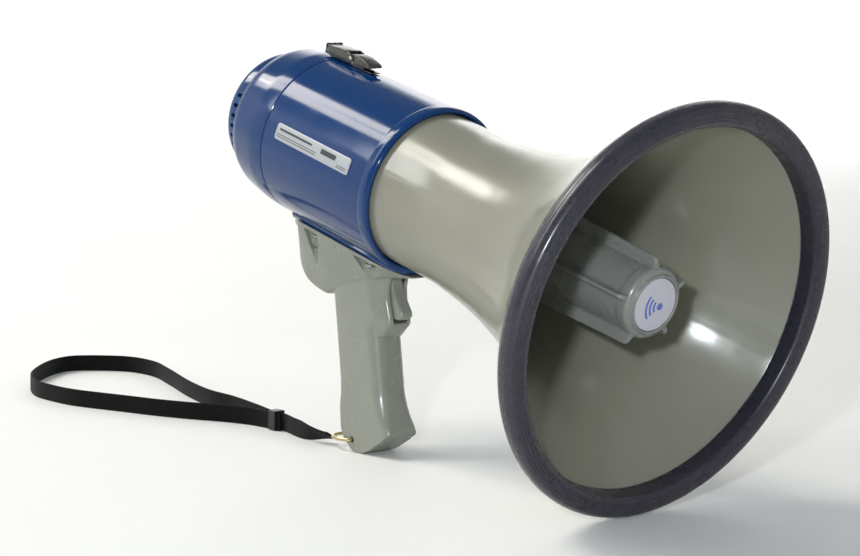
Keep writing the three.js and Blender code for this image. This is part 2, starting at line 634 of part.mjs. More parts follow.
const webbing = new THREE.Shape([
  [w, h * 0.4], [w - 0.4, h], [0.4 - w, h], [-w, h * 0.4],
  [-w, -h * 0.4], [0.4 - w, -h], [w - 0.4, -h], [w, -h * 0.4],
].map(([x, y]) => new THREE.Vector2(x, y)));
add('strap_webbing', closed(new THREE.ExtrudeGeometry(webbing, {
  steps: 62, extrudePath: routeCurve,
})), 0x0d0e0d, 0.85, 0, strap);
const clipZ = floorZ + 0.15 + WEB_W / 2;
const clip = cut(
  box(-333, -327, -11, -3, clipZ - 5.6, clipZ + 6.9),
  box(-340, -320, -9.9, -4.1, clipZ - 8, clipZ + 5.9),
);
add('strap_clip', clip, STEEL, 0.3, 0.9, strap);

// Origin at the middle of the megaphone, on the surface it rests on, with the strap left out.
root.updateMatrixWorld(true);
const bounds = new THREE.Box3();
for (const mesh of horn.children) bounds.expandByObject(mesh, true);
root.position.set(
  -(bounds.min.x + bounds.max.x) / 2, -(bounds.min.y + bounds.max.y) / 2, -bounds.min.z,
);
root.updateMatrixWorld(true);

export default root;
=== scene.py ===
"""Looks for a handheld megaphone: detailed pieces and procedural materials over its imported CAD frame.

Pieces are modelled in the horn's own millimetres, with x along the way the bell points and 0 at the
mouth, y to the far side and z up from the horn's axis. HORN turns them into the row frame in metres.
"""
import json
import math

import bmesh
import bpy
from mathutils import Matrix, Vector


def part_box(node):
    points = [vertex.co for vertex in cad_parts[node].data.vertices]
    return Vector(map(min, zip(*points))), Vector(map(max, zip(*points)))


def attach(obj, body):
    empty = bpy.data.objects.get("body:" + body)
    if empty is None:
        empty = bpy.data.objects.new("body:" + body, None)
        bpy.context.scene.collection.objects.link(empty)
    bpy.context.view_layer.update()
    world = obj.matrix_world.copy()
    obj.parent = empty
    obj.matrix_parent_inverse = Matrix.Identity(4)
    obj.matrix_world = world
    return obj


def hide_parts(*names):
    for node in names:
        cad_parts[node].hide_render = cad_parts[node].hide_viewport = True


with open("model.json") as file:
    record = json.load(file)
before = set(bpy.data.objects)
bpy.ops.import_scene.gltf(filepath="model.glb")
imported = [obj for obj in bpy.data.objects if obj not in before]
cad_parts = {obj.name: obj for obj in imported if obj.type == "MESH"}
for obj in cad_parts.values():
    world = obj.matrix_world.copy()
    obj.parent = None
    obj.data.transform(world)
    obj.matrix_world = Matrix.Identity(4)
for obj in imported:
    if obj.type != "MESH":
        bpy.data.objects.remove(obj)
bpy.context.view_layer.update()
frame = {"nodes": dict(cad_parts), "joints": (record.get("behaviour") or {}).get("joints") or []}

MM = 0.001
joints = {j["name"]: j for j in frame["joints"]}
AXIS = -Vector(joints["volume_turn"]["axis"]).normalized()
LEFT = Vector((0, 1, 0))
UP = AXIS.cross(LEFT)
CAP_HINGE = Vector((-303.5, 0, -53.8))
HORN = Matrix((AXIS, LEFT, UP)).transposed().to_4x4() @ Matrix.Scale(MM, 4)
HORN.translation = Vector(joints["cap_hinge"]["pos_m"]) - HORN.to_3x3() @ CAP_HINGE

RIM_R = 115
TUBE_R = 49.2
SEAM_X = -299.5
LEVER_PIVOT = (-282.5, 51.9)
CLAW_PIVOT = (-284, 53.9)
TRIGGER_PIVOT = (-217.3, -61.5)
RING_HOLE = (-217, -161.5)
SCREWS = ((-275, -15.5), (-275, 15.5), (-223.7, -15.5), (-223.7, 15.5))
WEB_WIDTH = 11
WEB_THICK = 1.8


# Camera ---

def make_camera():
    """At the photograph's viewing angle: in front of the bell, on the near side, a little above."""
    data = bpy.data.cameras.new("camera")
    data.lens = 106.1
    data.sensor_width = 36
    obj = bpy.data.objects.new("camera", data)
    right = Vector((0.6496, 0.7601, 0.0150)).normalized()
    back = right.cross(Vector((-0.1090, 0.0737, 0.9913))).normalized()
    up = back.cross(right)
    obj.matrix_world = Matrix((right, up, back)).transposed().to_4x4()
    mouth = HORN.translation
    obj.location = (mouth.x + 0.9029, mouth.y - 0.9414, mouth.z + 0.1883)
    data.clip_start = 0.05
    data.clip_end = 60
    bpy.context.scene.collection.objects.link(obj)
    bpy.context.scene.camera = obj


# Mesh helpers ---

def catmull(points, steps):
    """Points on a smooth curve through the given ones."""
    p = [Vector(q) for q in points]
    p = [2 * p[0] - p[1]] + p + [2 * p[-1] - p[-2]]
    out = []
    for i in range(1, len(p) - 2):
        t = [0.0]
        for a, b in zip(p[i - 1:i + 2], p[i:i + 3]):
            t.append(t[-1] + max((b - a).length, 1e-9) ** 0.5)
        for k in range(steps):
            u = t[1] + (t[2] - t[1]) * k / steps
            a = [
                (p[i - 1 + j] * (t[j + 1] - u) + p[i + j] * (u - t[j])) / (t[j + 1] - t[j])
                for j in range(3)
            ]
            b = [
                (a[j] * (t[j + 2] - u) + a[j + 1] * (u - t[j])) / (t[j + 2] - t[j])
                for j in range(2)
            ]
            out.append((b[0] * (t[2] - u) + b[1] * (u - t[1])) / (t[2] - t[1]))
    out.append(p[-2])
    return out


def rounded(points, steps=4, loop=False):
    """Outline with its corners rounded; rows are (x, r, size of the rounding)."""
    out = []
    n = len(points)
    for i, (x, r, *size) in enumerate(points):
        here = Vector((x, r))
        inner = loop or 0 < i < n - 1
        if not inner or not size or not size[0]:
            out.append((x, r))
            continue
        before = Vector(points[i - 1][:2]) - here
        after = Vector(points[(i + 1) % n][:2]) - here
        a = here + before * min(size[0] / before.length, 0.48)
        b = here + after * min(size[0] / after.length, 0.48)
        for k in range(steps + 1):
            t = k / steps
            q = a * (1 - t) ** 2 + here * 2 * t * (1 - t) + b * t * t
            out.append((q.x, q.y))
    return out


def raw(verts, faces, name="part"):
    """An unplaced object from vertices and faces, with its faces turned outward."""
    mesh = bpy.data.meshes.new(name)
    mesh.from_pydata([tuple(v) for v in verts], [], faces)
    bm = bmesh.new()
    bm.from_mesh(mesh)
    bmesh.ops.remove_doubles(bm, verts=bm.verts, dist=1e-5)
    bmesh.ops.recalc_face_normals(bm, faces=bm.faces)
    bm.to_mesh(mesh)
    bm.free()
    obj = bpy.data.objects.new(name, mesh)
    bpy.context.scene.collection.objects.link(obj)
    return obj


def turned(profile, segments=160, radial=None, center=(0, 0)):
    """Turned solid about the horn axis, or about a line beside it; radial(x, r, t) adds to the radius."""
    verts, rings = [], []
    for x, r in profile:
        start = len(verts)
        if r < 1e-6:
            verts.append((x, center[0], center[1]))
            rings.append([start] * segments)
            continue
        for k in range(segments):
            t = 2 * math.pi * k / segments
            rr = r + (radial(x, r, t) if radial else 0)
            verts.append((x, center[0] + rr * math.sin(t), center[1] + rr * math.cos(t)))
        rings.append(list(range(start, start + segments)))
    on_axis = profile[0][1] < 1e-6 and profile[-1][1] < 1e-6
    pairs = list(zip(rings, rings[1:]))
    if not on_axis:
        pairs.append((rings[-1], rings[0]))
    faces = []
    for a, b in pairs:
        for k in range(segments):
            m = (k + 1) % segments
            face = list(dict.fromkeys((a[k], a[m], b[m], b[k])))
            if len(face) > 2:
                faces.append(face)
    return raw(verts, faces)


def loft(rings):
    """Skin over rings of points, closed at both ends."""
    n = len(rings[0])
    verts = [p for ring in rings for p in ring]
    faces = []
    for k in range(len(rings) - 1):
        for i in range(n):
            m = (i + 1) % n
            faces.append((k * n + i, k * n + m, (k + 1) * n + m, (k + 1) * n + i))
    faces.append(list(range(n))[::-1])
    faces.append(list(range((len(rings) - 1) * n, len(rings) * n)))
    return raw(verts, faces)


def slab(outline, y0, y1):
    """Side-view outline (x, z) given a width across y."""
    return loft([[(x, y, z) for x, z in outline] for y in (y0, y1)])


def box(x0, x1, y0, y1, z0, z1):
    return slab([(x0, z0), (x1, z0), (x1, z1), (x0, z1)], y0, y1)


def rod(axis, center, radius, length, segments=40, edge=0.0):
    """Round bar along x, y or z, with its end edges rounded by edge."""
    half = length / 2
    profile = [(-half, 0), (-half, radius, edge), (half, radius, edge), (half, 0)]
    obj = turned(rounded(profile), segments)
    turn = {
        "x": Matrix(),
        "y": Matrix.Rotation(math.pi / 2, 4, "Z"),
        "z": Matrix.Rotation(-math.pi / 2, 4, "Y"),
    }
    obj.data.transform(Matrix.Translation(center) @ turn[axis])
    return obj


def sweep(path, section, frames=None):
    """Tube along a path: section rows are (across, up) in each point's own frame."""
    path = [Vector(p) for p in path]
    rings = []
    side = None
    for i, p in enumerate(path):
        ahead = (path[min(i + 1, len(path) - 1)] - path[max(i - 1, 0)]).normalized()
        if frames:
            across, up = frames[i]
        else:
            if side is None:
                side = ahead.orthogonal().normalized()
            across = (side - ahead * side.dot(ahead)).normalized()
            side = across
            up = ahead.cross(across)
        rings.append([p + across * a + up * b for a, b in section])
    return loft(rings)


def circle(radius, n=16):
    """Round section for a sweep."""
    turns = [2 * math.pi * k / n for k in range(n)]
    return [(radius * math.cos(t), radius * math.sin(t)) for t in turns]


def both_sides(half):
    """Closed ring from its points on the far side and their mirror images on the near side."""
    return half + [(x, -y, z) for x, y, z in reversed(half)]


def settle(obj):
    """Applies the modifiers."""
    depsgraph = bpy.context.evaluated_depsgraph_get()
    mesh = bpy.data.meshes.new_from_object(obj.evaluated_get(depsgraph))
    old = obj.data
    obj.modifiers.clear()
    obj.data = mesh
    bpy.data.meshes.remove(old)


def combine(obj, operation, *others):
    """Boolean of obj with each of the others, which are used up."""
    for other in others:
        modifier = obj.modifiers.new(operation, "BOOLEAN")
        modifier.operation = operation
        modifier.solver = "MANIFOLD"
        modifier.object = other
        settle(obj)
        mesh = other.data
        bpy.data.objects.remove(other)
        bpy.data.meshes.remove(mesh)
    return obj


def together(obj, *others):
    """Several shells as one object."""
    bm = bmesh.new()
    for o in (obj, *others):
        bm.from_mesh(o.data)
    bm.to_mesh(obj.data)
    bm.free()
    for o in others:
        mesh = o.data
        bpy.data.objects.remove(o)
        bpy.data.meshes.remove(mesh)
    return obj


def softened(obj, width, segments=3, angle=30):
    """Rounds every edge sharper than the angle."""
    modifier = obj.modifiers.new("edges", "BEVEL")
    modifier.width = width
    modifier.segments = segments
    modifier.limit_method = "ANGLE"
    modifier.angle_limit = math.radians(angle)
    modifier.use_clamp_overlap = True
    settle(obj)
    return obj


def moulded(obj, voxel, rounds, factor=0.5):
    """Fuses a solid into one skin with soft edges, as a moulding has."""
    modifier = obj.modifiers.new("skin", "REMESH")
    modifier.mode = "VOXEL"
    modifier.voxel_size = voxel
    modifier.adaptivity = 0
    smooth = obj.modifiers.new("soft", "SMOOTH")
    smooth.factor = factor
    smooth.iterations = rounds
    settle(obj)
    return obj


def around(obj, angle):
    """Turns a piece modelled at the top around the horn axis, towards the far side."""
    obj.data.transform(Matrix.Rotation(-angle, 4, "X"))
    return obj


def place(obj, name, body, material, stands_for=(), angle=32, matrix=HORN):
    """Puts a finished piece into the row frame on its body, with its material."""
    obj.name = name
    obj.data.name = name
    if matrix:
        obj.data.transform(matrix)
    obj.data.materials.clear()
    obj.data.materials.append(material)
    obj.data.polygons.foreach_set("use_smooth", [True] * len(obj.data.polygons))
    obj.data.set_sharp_from_angle(angle=math.radians(angle))
    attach(obj, body)
    if stands_for:
        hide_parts(*stands_for)
    return obj


# Materials ---

def srgb(*levels):
    """Linear colour from 0-255 values."""
    linear = []
    for level in levels:
        c = level / 255
        linear.append(c / 12.92 if level <= 10 else ((c + 0.055) / 1.055) ** 2.4)
    return (*linear, 1)


TONE_BAND = (0.35, 0.65)
GLOSS_BAND = (0.3, 0.7)
EDGE_BAND = (0.97, 0.80)
WEAR_PATCH = 0.004
BEVEL_SAMPLES = 4
DUST_CELLS = 55
DUST_BAND = (0.022, 0.014)
DUST_COLOR = srgb(205, 203, 195)


def finish(
    name, color, roughness, metallic=0.0, tone=0.06, tone_size=0.03, grain=0.02, grain_size=0.001,
    spread=0.06, worn=None, wear=0.5, wear_size=0.0006, dust=0.0, stretch=(1, 1, 1), **constants,
):
    """A moulded, metal or painted surface: blotchy tone, fine grain, worn edges, dust and uneven gloss."""
    m = bpy.data.materials.new(name)
    m.use_nodes = True
    nodes, link = m.node_tree.nodes, m.node_tree.links.new
    shader = nodes["Principled BSDF"]
    place_in = nodes.new("ShaderNodeTexCoord").outputs["Object"]
    mapping = nodes.new("ShaderNodeMapping")
    mapping.inputs["Scale"].default_value = stretch
    link(place_in, mapping.inputs["Vector"])

    def noise(size, detail=3, source=None):
        node = nodes.new("ShaderNodeTexNoise")
        node.inputs["Scale"].default_value = 1 / size
        node.inputs["Detail"].default_value = detail
        link(source or place_in, node.inputs["Vector"])
        return node.outputs["Fac"]

    def ranged(value, low, high, to_low, to_high):
        node = nodes.new("ShaderNodeMapRange")
        for slot, number in zip(("From Min", "From Max", "To Min", "To Max"), (low, high, to_low, to_high)):
            node.inputs[slot].default_value = number
        link(value, node.inputs["Value"])
        return node.outputs["Result"]

    def mixed(a, b, factor):
        node = nodes.new("ShaderNodeMix")
        node.data_type = "RGBA"
        sockets = [s for s in node.inputs if s.type == "RGBA"]
        for socket, value in zip(sockets, (a, b)):
            if isinstance(value, tuple):
                socket.default_value = value
            else:
                link(value, socket)
        link(factor, node.inputs[0])
        return [s for s in node.outputs if s.type == "RGBA"][0]

    def product(a, b):
        node = nodes.new("ShaderNodeMath")
        node.operation = "MULTIPLY"
        link(a, node.inputs[0])
        link(b, node.inputs[1])
        return node.outputs[0]

    dark = tuple(c * (1 - tone) for c in color[:3]) + (1,)
    light = tuple(min(c * (1 + tone), 1) for c in color[:3]) + (1,)
    shade = mixed(dark, light, ranged(noise(tone_size), *TONE_BAND, 0, 1))
    uneven = noise(tone_size * 0.4, 4, mapping.outputs["Vector"])
    gloss = ranged(uneven, *GLOSS_BAND, roughness - spread, roughness + spread)
    if worn:
        bevel = nodes.new("ShaderNodeBevel")
        bevel.samples = BEVEL_SAMPLES
        bevel.inputs["Radius"].default_value = wear_size
        plain = nodes.new("ShaderNodeNewGeometry").outputs["Normal"]
        dot = nodes.new("ShaderNodeVectorMath")
        dot.operation = "DOT_PRODUCT"
        link(bevel.outputs["Normal"], dot.inputs[0])
        link(plain, dot.inputs[1])
        edge = ranged(dot.outputs["Value"], *EDGE_BAND, 0, wear)
        patchy = ranged(noise(WEAR_PATCH, 4), 0.4, 0.6, 0.2, 1)
        shade = mixed(shade, worn, product(edge, patchy))
    if dust:
        specks = nodes.new("ShaderNodeTexVoronoi")
        specks.inputs["Scale"].default_value = DUST_CELLS
        link(place_in, specks.inputs["Vector"])
        dots = ranged(specks.outputs["Distance"], *DUST_BAND, 0, dust)
        shade = mixed(shade, DUST_COLOR, dots)
    link(shade, shader.inputs["Base Color"])
    link(gloss, shader.inputs["Roughness"])
    shader.inputs["Metallic"].default_value = metallic
    for key, value in constants.items():
        shader.inputs[key.replace("_", " ")].default_value = value
    bump = nodes.new("ShaderNodeBump")
    bump.inputs["Strength"].default_value = 1.0
    bump.inputs["Distance"].default_value = grain * MM
    link(noise(grain_size, 4, mapping.outputs["Vector"]), bump.inputs["Height"])
    link(bump.outputs["Normal"], shader.inputs["Normal"])
    return m


HORN_GREY = finish(
    "horn_plastic", srgb(129, 128, 114), 0.2, tone=0.03, tone_size=0.05, grain=0.004, grain_size=0.006,
    worn=srgb(190, 188, 176), wear=0.3, spread=0.04,
)
GRIP_GREY = finish(
    "grip_plastic", srgb(130, 132, 122), 0.24, tone=0.03, tone_size=0.03, grain=0.008, grain_size=0.003,
    worn=srgb(176, 178, 168), wear=0.4, spread=0.06,
)
REFLECTOR_GREY = finish(
    "reflector_plastic", srgb(128, 130, 125), 0.26, tone=0.02, grain=0.002, grain_size=0.003,
    worn=srgb(150, 151, 145), wear=0.5, dust=0.4,
)
BLUE = finish(
    "blue_plastic", srgb(8, 50, 100), 0.12, tone=0.04, tone_size=0.06, grain=0.003, grain_size=0.006,
    worn=srgb(50, 84, 142), wear=0.35, dust=0.3, spread=0.03, Specular_IOR_Level=0.32,
)
RUBBER = finish(
    "bumper_rubber", srgb(44, 42, 52), 0.28, tone=0.06, tone_size=0.02, grain=0.012, grain_size=0.0015,
    worn=srgb(92, 90, 104), wear=0.5, wear_size=0.0003, spread=0.06,
)
BADGE = finish(
    "badge_film", srgb(188, 186, 194), 0.35, tone=0.03, grain=0.004, grain_size=0.002,
    worn=srgb(200, 199, 205), wear=0.3,
)
BADGE_BLUE = finish("badge_ink", srgb(78, 104, 178), 0.35, tone=0.05, grain=0.003, grain_size=0.002)
PLATE = finish(
    "name_plate_foil", srgb(170, 173, 176), 0.34, metallic=0.35, tone=0.03, grain=0.004, grain_size=0.0008,
    worn=srgb(215, 217, 220), wear=0.4, stretch=(1, 8, 8),
)
INK = finish("plate_ink", srgb(48, 50, 56), 0.45, tone=0.12, grain=0.002, grain_size=0.001)
NICKEL = finish(
    "latch_nickel", srgb(92, 91, 88), 0.26, metallic=0.9, tone=0.04, tone_size=0.01, grain=0.0015,
    grain_size=0.0015,
    worn=srgb(214, 204, 176), wear=0.5, wear_size=0.0003, stretch=(1, 6, 1), spread=0.05,
)
STEEL = finish(
    "plated_steel", srgb(176, 176, 172), 0.26, metallic=0.95, tone=0.04, tone_size=0.008, grain=0.001,
    grain_size=0.001, worn=srgb(225, 224, 218), wear=0.5, wear_size=0.0003, spread=0.05,
)
BRASS = finish(
    "ring_brass", srgb(190, 176, 132), 0.26, metallic=0.95, tone=0.06, tone_size=0.006, grain=0.001,
    grain_size=0.001, worn=srgb(236, 222, 180), wear=0.4, wear_size=0.0003, spread=0.05,
)
DARK = finish(
    "dark_plastic", srgb(30, 30, 33), 0.42, tone=0.1, grain=0.012, grain_size=0.0007, worn=srgb(74, 74, 78),
    wear=0.5,
)
SEAL = finish("seal_rubber", srgb(20, 20, 21), 0.6, tone=0.15, grain=0.01, grain_size=0.0006)
FERRITE = finish(
    "ferrite", srgb(46, 45, 48), 0.7, tone=0.15, tone_size=0.004, grain=0.03, grain_size=0.0006,
    worn=srgb(90, 90, 92),
)
FILM = finish(
    "diaphragm_film", srgb(170, 136, 84), 0.35, metallic=0.2, tone=0.08, grain=0.01, grain_size=0.001,
)
BOARD = finish(
    "circuit_board", srgb(44, 92, 60), 0.4, tone=0.12, tone_size=0.004, grain=0.01, grain_size=0.0008,
    worn=srgb(160, 150, 96),
)
CAPACITOR = finish(
    "capacitor_sleeve", srgb(30, 36, 48), 0.35, tone=0.08, grain=0.004, grain_size=0.001,
    worn=srgb(150, 150, 150), wear=0.6,
)
SLEEVE = finish(
    "cell_sleeve", srgb(150, 112, 52), 0.3, metallic=0.3, tone=0.1, tone_size=0.01, grain=0.003,
    grain_size=0.001, worn=srgb(200, 196, 180), wear=0.7,
)
CAPSULE = finish(
    "capsule_steel", srgb(186, 186, 184), 0.25, metallic=0.9, tone=0.06, grain=0.003, grain_size=0.0006,
    worn=srgb(220, 220, 218),
)
MARK = finish(
    "mark_paint", srgb(214, 212, 200), 0.45, grain=0.002, grain_size=0.0006, worn=srgb(150, 150, 146),
)
RED = finish(
    "plunger_plastic", srgb(176, 44, 34), 0.4, tone=0.06, grain=0.004, grain_size=0.0008,
    worn=srgb(206, 96, 84),
)


WEAVE_SCALE = 260
FUZZ_SCALE = 700
FUZZ_SHARE = 0.35
WEAVE_DEPTH = 0.15 * MM


def webbing_finish():
    """Black woven webbing: two crossed sets of diagonal ribs under a fine fuzz."""
    m = bpy.data.materials.new("webbing_weave")
    m.use_nodes = True
    nodes, link = m.node_tree.nodes, m.node_tree.links.new
    shader = nodes["Principled BSDF"]
    uv = nodes.new("ShaderNodeTexCoord").outputs["UV"]
    waves = []
    for angle in (0.0, 1.5708):
        mapping = nodes.new("ShaderNodeMapping")
        mapping.inputs["Rotation"].default_value = (0, 0, angle)
        link(uv, mapping.inputs["Vector"])
        wave = nodes.new("ShaderNodeTexWave")
        wave.bands_direction = "DIAGONAL"
        wave.inputs["Scale"].default_value = WEAVE_SCALE
        wave.inputs["Distortion"].default_value = 0.6
        wave.inputs["Detail"].default_value = 2
        link(mapping.outputs["Vector"], wave.inputs["Vector"])
        waves.append(wave.outputs["Fac"])
    height = nodes.new("ShaderNodeMath")
    height.operation = "MAXIMUM"
    link(waves[0], height.inputs[0])
    link(waves[1], height.inputs[1])
    fuzz = nodes.new("ShaderNodeTexNoise")
    fuzz.inputs["Scale"].default_value = FUZZ_SCALE
    fuzz.inputs["Detail"].default_value = 4
    link(nodes.new("ShaderNodeTexCoord").outputs["Object"], fuzz.inputs["Vector"])
    total = nodes.new("ShaderNodeMath")
    total.operation = "MULTIPLY_ADD"
    total.inputs[1].default_value = FUZZ_SHARE
    link(fuzz.outputs["Fac"], total.inputs[0])
    link(height.outputs[0], total.inputs[2])
    ramp = nodes.new("ShaderNodeValToRGB")
    ramp.color_ramp.elements[0].position = FUZZ_SHARE
    ramp.color_ramp.elements[0].color = srgb(4, 5, 4)
    ramp.color_ramp.elements[1].position = 1.15 / 1.35
    ramp.color_ramp.elements[1].color = srgb(9, 10, 9)
    link(total.outputs[0], ramp.inputs["Fac"])
    link(ramp.outputs["Color"], shader.inputs["Base Color"])
    bump = nodes.new("ShaderNodeBump")
    bump.inputs["Strength"].default_value = 1.0
    bump.inputs["Distance"].default_value = WEAVE_DEPTH
    link(total.outputs[0], bump.inputs["Height"])
    link(bump.outputs["Normal"], shader.inputs["Normal"])
    rough = nodes.new("ShaderNodeMapRange")
    rough.inputs["To Min"].default_value = 0.62
    rough.inputs["To Max"].default_value = 0.85
    link(fuzz.outputs["Fac"], rough.inputs["Value"])
    link(rough.outputs["Result"], shader.inputs["Roughness"])
    shader.inputs["Sheen Weight"].default_value = 0.05
    shader.inputs["Sheen Roughness"].default_value = 0.5
    shader.inputs["Specular IOR Level"].default_value = 0.12
    return m


WEBBING = webbing_finish()


# Cord: webbing strap ---

STRAP_ROUTE = [
    (-273, -9), (-290, -12.4), (-308, -9.6), (-322, -5.9), (-337, -4.9), (-361, 0), (-392, 5),
    (-418, 6), (-452, 14), (-501, 31), (-534, 40.5), (-558, 38), (-574, 25), (-584.5, 8), (-583, -4),
    (-574, -20), (-552, -44), (-536, -56), (-514, -65.5), (-492, -66.5), (-472, -64), (-446, -54.5),
    (-430, -48), (-414, -42), (-391, -31), (-371, -19), (-352, -10.8), (-338, -8.6), (-324, -8.5),
]
WEB_CENTER = (WEB_WIDTH / 2 + 0.15) * MM
TWIST_START = 0.3
TWIST_RUN = 0.03


def web_section(width=WEB_WIDTH * MM, thick=WEB_THICK * MM):
    """Cross-section of the webbing with rounded selvedges, flat side up, in metres."""
    points = rounded([
        (-width / 2, -thick / 2, thick * 0.45), (width / 2, -thick / 2, thick * 0.45),
        (width / 2, thick / 2, thick * 0.45), (-width / 2, thick / 2, thick * 0.45),
    ], 3, loop=True)
    crowned = []
    for x, z in points:
        crowned.append((x, z * (1 - 0.25 * (2 * x / width) ** 2)))
    return crowned


def lay_webbing(path, twist):
    """Ribbon along a path; twist is 0 where it lies flat and 1 where it stands on edge."""
    frames = []
    for i in range(len(path)):
        ahead = (path[min(i + 1, len(path) - 1)] - path[max(i - 1, 0)]).normalized()
        flat = Vector((0, 0, 1)).cross(ahead).normalized()
        above = ahead.cross(flat)
        t = twist[i] * math.pi / 2
        across = flat * math.cos(t) + above * math.sin(t)
        frames.append((across, ahead.cross(across)))
    section = web_section()
    obj = sweep(path, section, frames)
    add_strip_uv(obj, path, section)
    return obj


def add_strip_uv(obj, path, section):
    """Length along the ribbon and place across it, in metres, as UV."""
    along = [0.0]
    for a, b in zip(path, path[1:]):
        along.append(along[-1] + (b - a).length)
    n = len(section)
    layer = obj.data.uv_layers.new(name="strip")
    for poly in obj.data.polygons:
        for loop in poly.loop_indices:
            v = obj.data.loops[loop].vertex_index
            ring = min(v // n, len(path) - 1)
            layer.data[loop].uv = (along[ring], section[v % n][0])


def make_strap():
    """The whole strap: it starts at the ring partly turned and stands on its edge round the loop."""
    mouth_x = HORN.translation.x
    route = [Vector((mouth_x + x * MM, y * MM, WEB_CENTER)) for x, y in STRAP_ROUTE]
    path = catmull(route, 10)
    length = sum((b - a).length for a, b in zip(path, path[1:]))
    run, twist = 0.0, []
    for i, p in enumerate(path):
        run += (p - path[i - 1]).length if i else 0
        t = min(run / TWIST_RUN, 1)
        twist.append(TWIST_START + (1 - TWIST_START) * t * t * (3 - 2 * t))
    strap = lay_webbing(path, twist)
    place(strap, "strap_loop", "megaphone", WEBBING, ("strap_webbing",), 50, None)
    return strap, route[0], path, length


make_camera()
strap, strap_start, strap_path, strap_length = make_strap()


# Stage ---

FLOOR_RADIUS = 2.6
COVE = 1.6
BACKDROP_TOP = 3.4


def make_stage():
    """A pale floor that curves up into a round backdrop."""
    profile = [(0, 0), (1.2, 0), (FLOOR_RADIUS, 0)]
    for k in range(1, 13):
        t = k / 12 * math.pi / 2
        profile.append((FLOOR_RADIUS + COVE * math.sin(t), COVE - COVE * math.cos(t)))
    profile.append((FLOOR_RADIUS + COVE, BACKDROP_TOP))
    segments = 96
    verts = [(0, 0, 0)]
    faces = []
    for r, z in profile[1:]:
        for k in range(segments):
            t = 2 * math.pi * k / segments
            verts.append((r * math.cos(t), r * math.sin(t), z))
    for k in range(segments):
        faces.append((0, 1 + k, 1 + (k + 1) % segments))
    for ring in range(len(profile) - 2):
        a = 1 + ring * segments
        for k in range(segments):
            m = (k + 1) % segments
            faces.append((a + k, a + segments + k, a + segments + m, a + m))
    floor = raw(verts, faces)
    floor.name = "floor"
    floor.data.polygons.foreach_set("use_smooth", [True] * len(floor.data.polygons))
    if floor.data.polygons[0].normal.z < 0:
        floor.data.flip_normals()
    floor.data.materials.append(finish(
        "floor_paper", srgb(236, 236, 234), 0.7, tone=0.01, tone_size=0.4, grain=0.01, grain_size=0.002,
    ))


def area_light(name, position, target, along, size, power, color):
    """Rectangular light facing the target, with its first side along a direction."""
    data = bpy.data.lights.new(name, "AREA")
    data.shape = "RECTANGLE"
    data.size, data.size_y = size
    data.energy = power
    data.color = color
    obj = bpy.data.objects.new(name, data)
    back = (Vector(position) - Vector(target)).normalized()
    side = (Vector(along) - back * Vector(along).dot(back)).normalized()
    obj.matrix_world = Matrix((side, back.cross(side), back)).transposed().to_4x4()
    obj.location = position
    bpy.context.scene.collection.objects.link(obj)


def mirrored(point, angle):
    """Direction that the camera sees mirrored in the tube's near side, at an angle from its top."""
    normal = UP * math.cos(angle) - LEFT * math.sin(angle)
    to_camera = (bpy.context.scene.camera.location - point).normalized()
    return 2 * normal.dot(to_camera) * normal - to_camera


ROOM_COLOR = (0.84, 0.92, 1.0, 1)
ROOM_STRENGTH = 0.3
PANEL_DISTANCE = 2.0
PANEL_ANGLE = math.radians(47.5)
STRIP_OFFSET = 0.14
STRIP_SIZE = (1.35, 0.25)
STRIP_POWER = 13
STRIP_COLOR = (1, 0.96, 0.87)
CAMERA_LIGHT_OFFSET = (-0.16, 0.14, 0)
CAMERA_LIGHT_SIZE = (0.07, 0.07)
CAMERA_LIGHT_POWER = 11
CAMERA_LIGHT_COLOR = (0.86, 0.93, 1)
BACKDROP_LIGHT_SIZE = (1.6, 1.0)
BACKDROP_LIGHT_POWER = 52


def make_lights():
    """A warm panel of two strips that the tube mirrors, a cool light by the camera, a lit backdrop."""
    world = bpy.data.worlds.new("room")
    world.use_nodes = True
    background = world.node_tree.nodes["Background"]
    background.inputs["Color"].default_value = ROOM_COLOR
    background.inputs["Strength"].default_value = ROOM_STRENGTH
    bpy.context.scene.world = world
    middle = HORN @ Vector((-250, 0, 0))
    panel = middle + PANEL_DISTANCE * mirrored(middle, PANEL_ANGLE)
    facing = (panel - middle).normalized()
    long = (AXIS - facing * AXIS.dot(facing)).normalized()
    across = facing.cross(long)
    for i, side in enumerate((-1, 1)):
        spot = panel + across * side * STRIP_OFFSET
        area_light(f"strip_{i + 1}", spot, middle, AXIS, STRIP_SIZE, STRIP_POWER, STRIP_COLOR)
    camera = bpy.context.scene.camera
    spot = camera.location + camera.matrix_world.to_3x3() @ Vector(CAMERA_LIGHT_OFFSET)
    area_light(
        "camera_light", spot, middle, LEFT, CAMERA_LIGHT_SIZE, CAMERA_LIGHT_POWER, CAMERA_LIGHT_COLOR,
    )
    for i, side in enumerate((-1, 1)):
        spot = Vector((-2.2, side * 2.2, 2.2))
        wall = Vector((-3.6, 1.6 + side * 1.2, 0.6))
        area_light(
            f"backdrop_{i + 1}", spot, wall, LEFT, BACKDROP_LIGHT_SIZE, BACKDROP_LIGHT_POWER, (1, 1, 1),
        )
    bpy.context.scene.view_settings.view_transform = "Standard"


make_stage()
make_lights()

# Bell, bumper and reflector ---

HORN_WALL = 2.4
HORN_REAR = -205
HORN_SHOULDER = -202.2
FLARE = [
    (-205, 45.9), (-190, 45.6), (-161, 45.5), (-146, 46.8), (-132, 48.5), (-115, 51.3), (-103.5, 53.8),
    (-88, 57.8), (-74.75, 62.2), (-60, 68.3), (-47, 75.5), (-36, 83), (-26, 90.5), (-17, 97.5),
    (-9, 103.5), (-3.4, 107.5),
]
MOULD_LINES = (math.radians(97), math.radians(112), math.radians(277), math.radians(292))


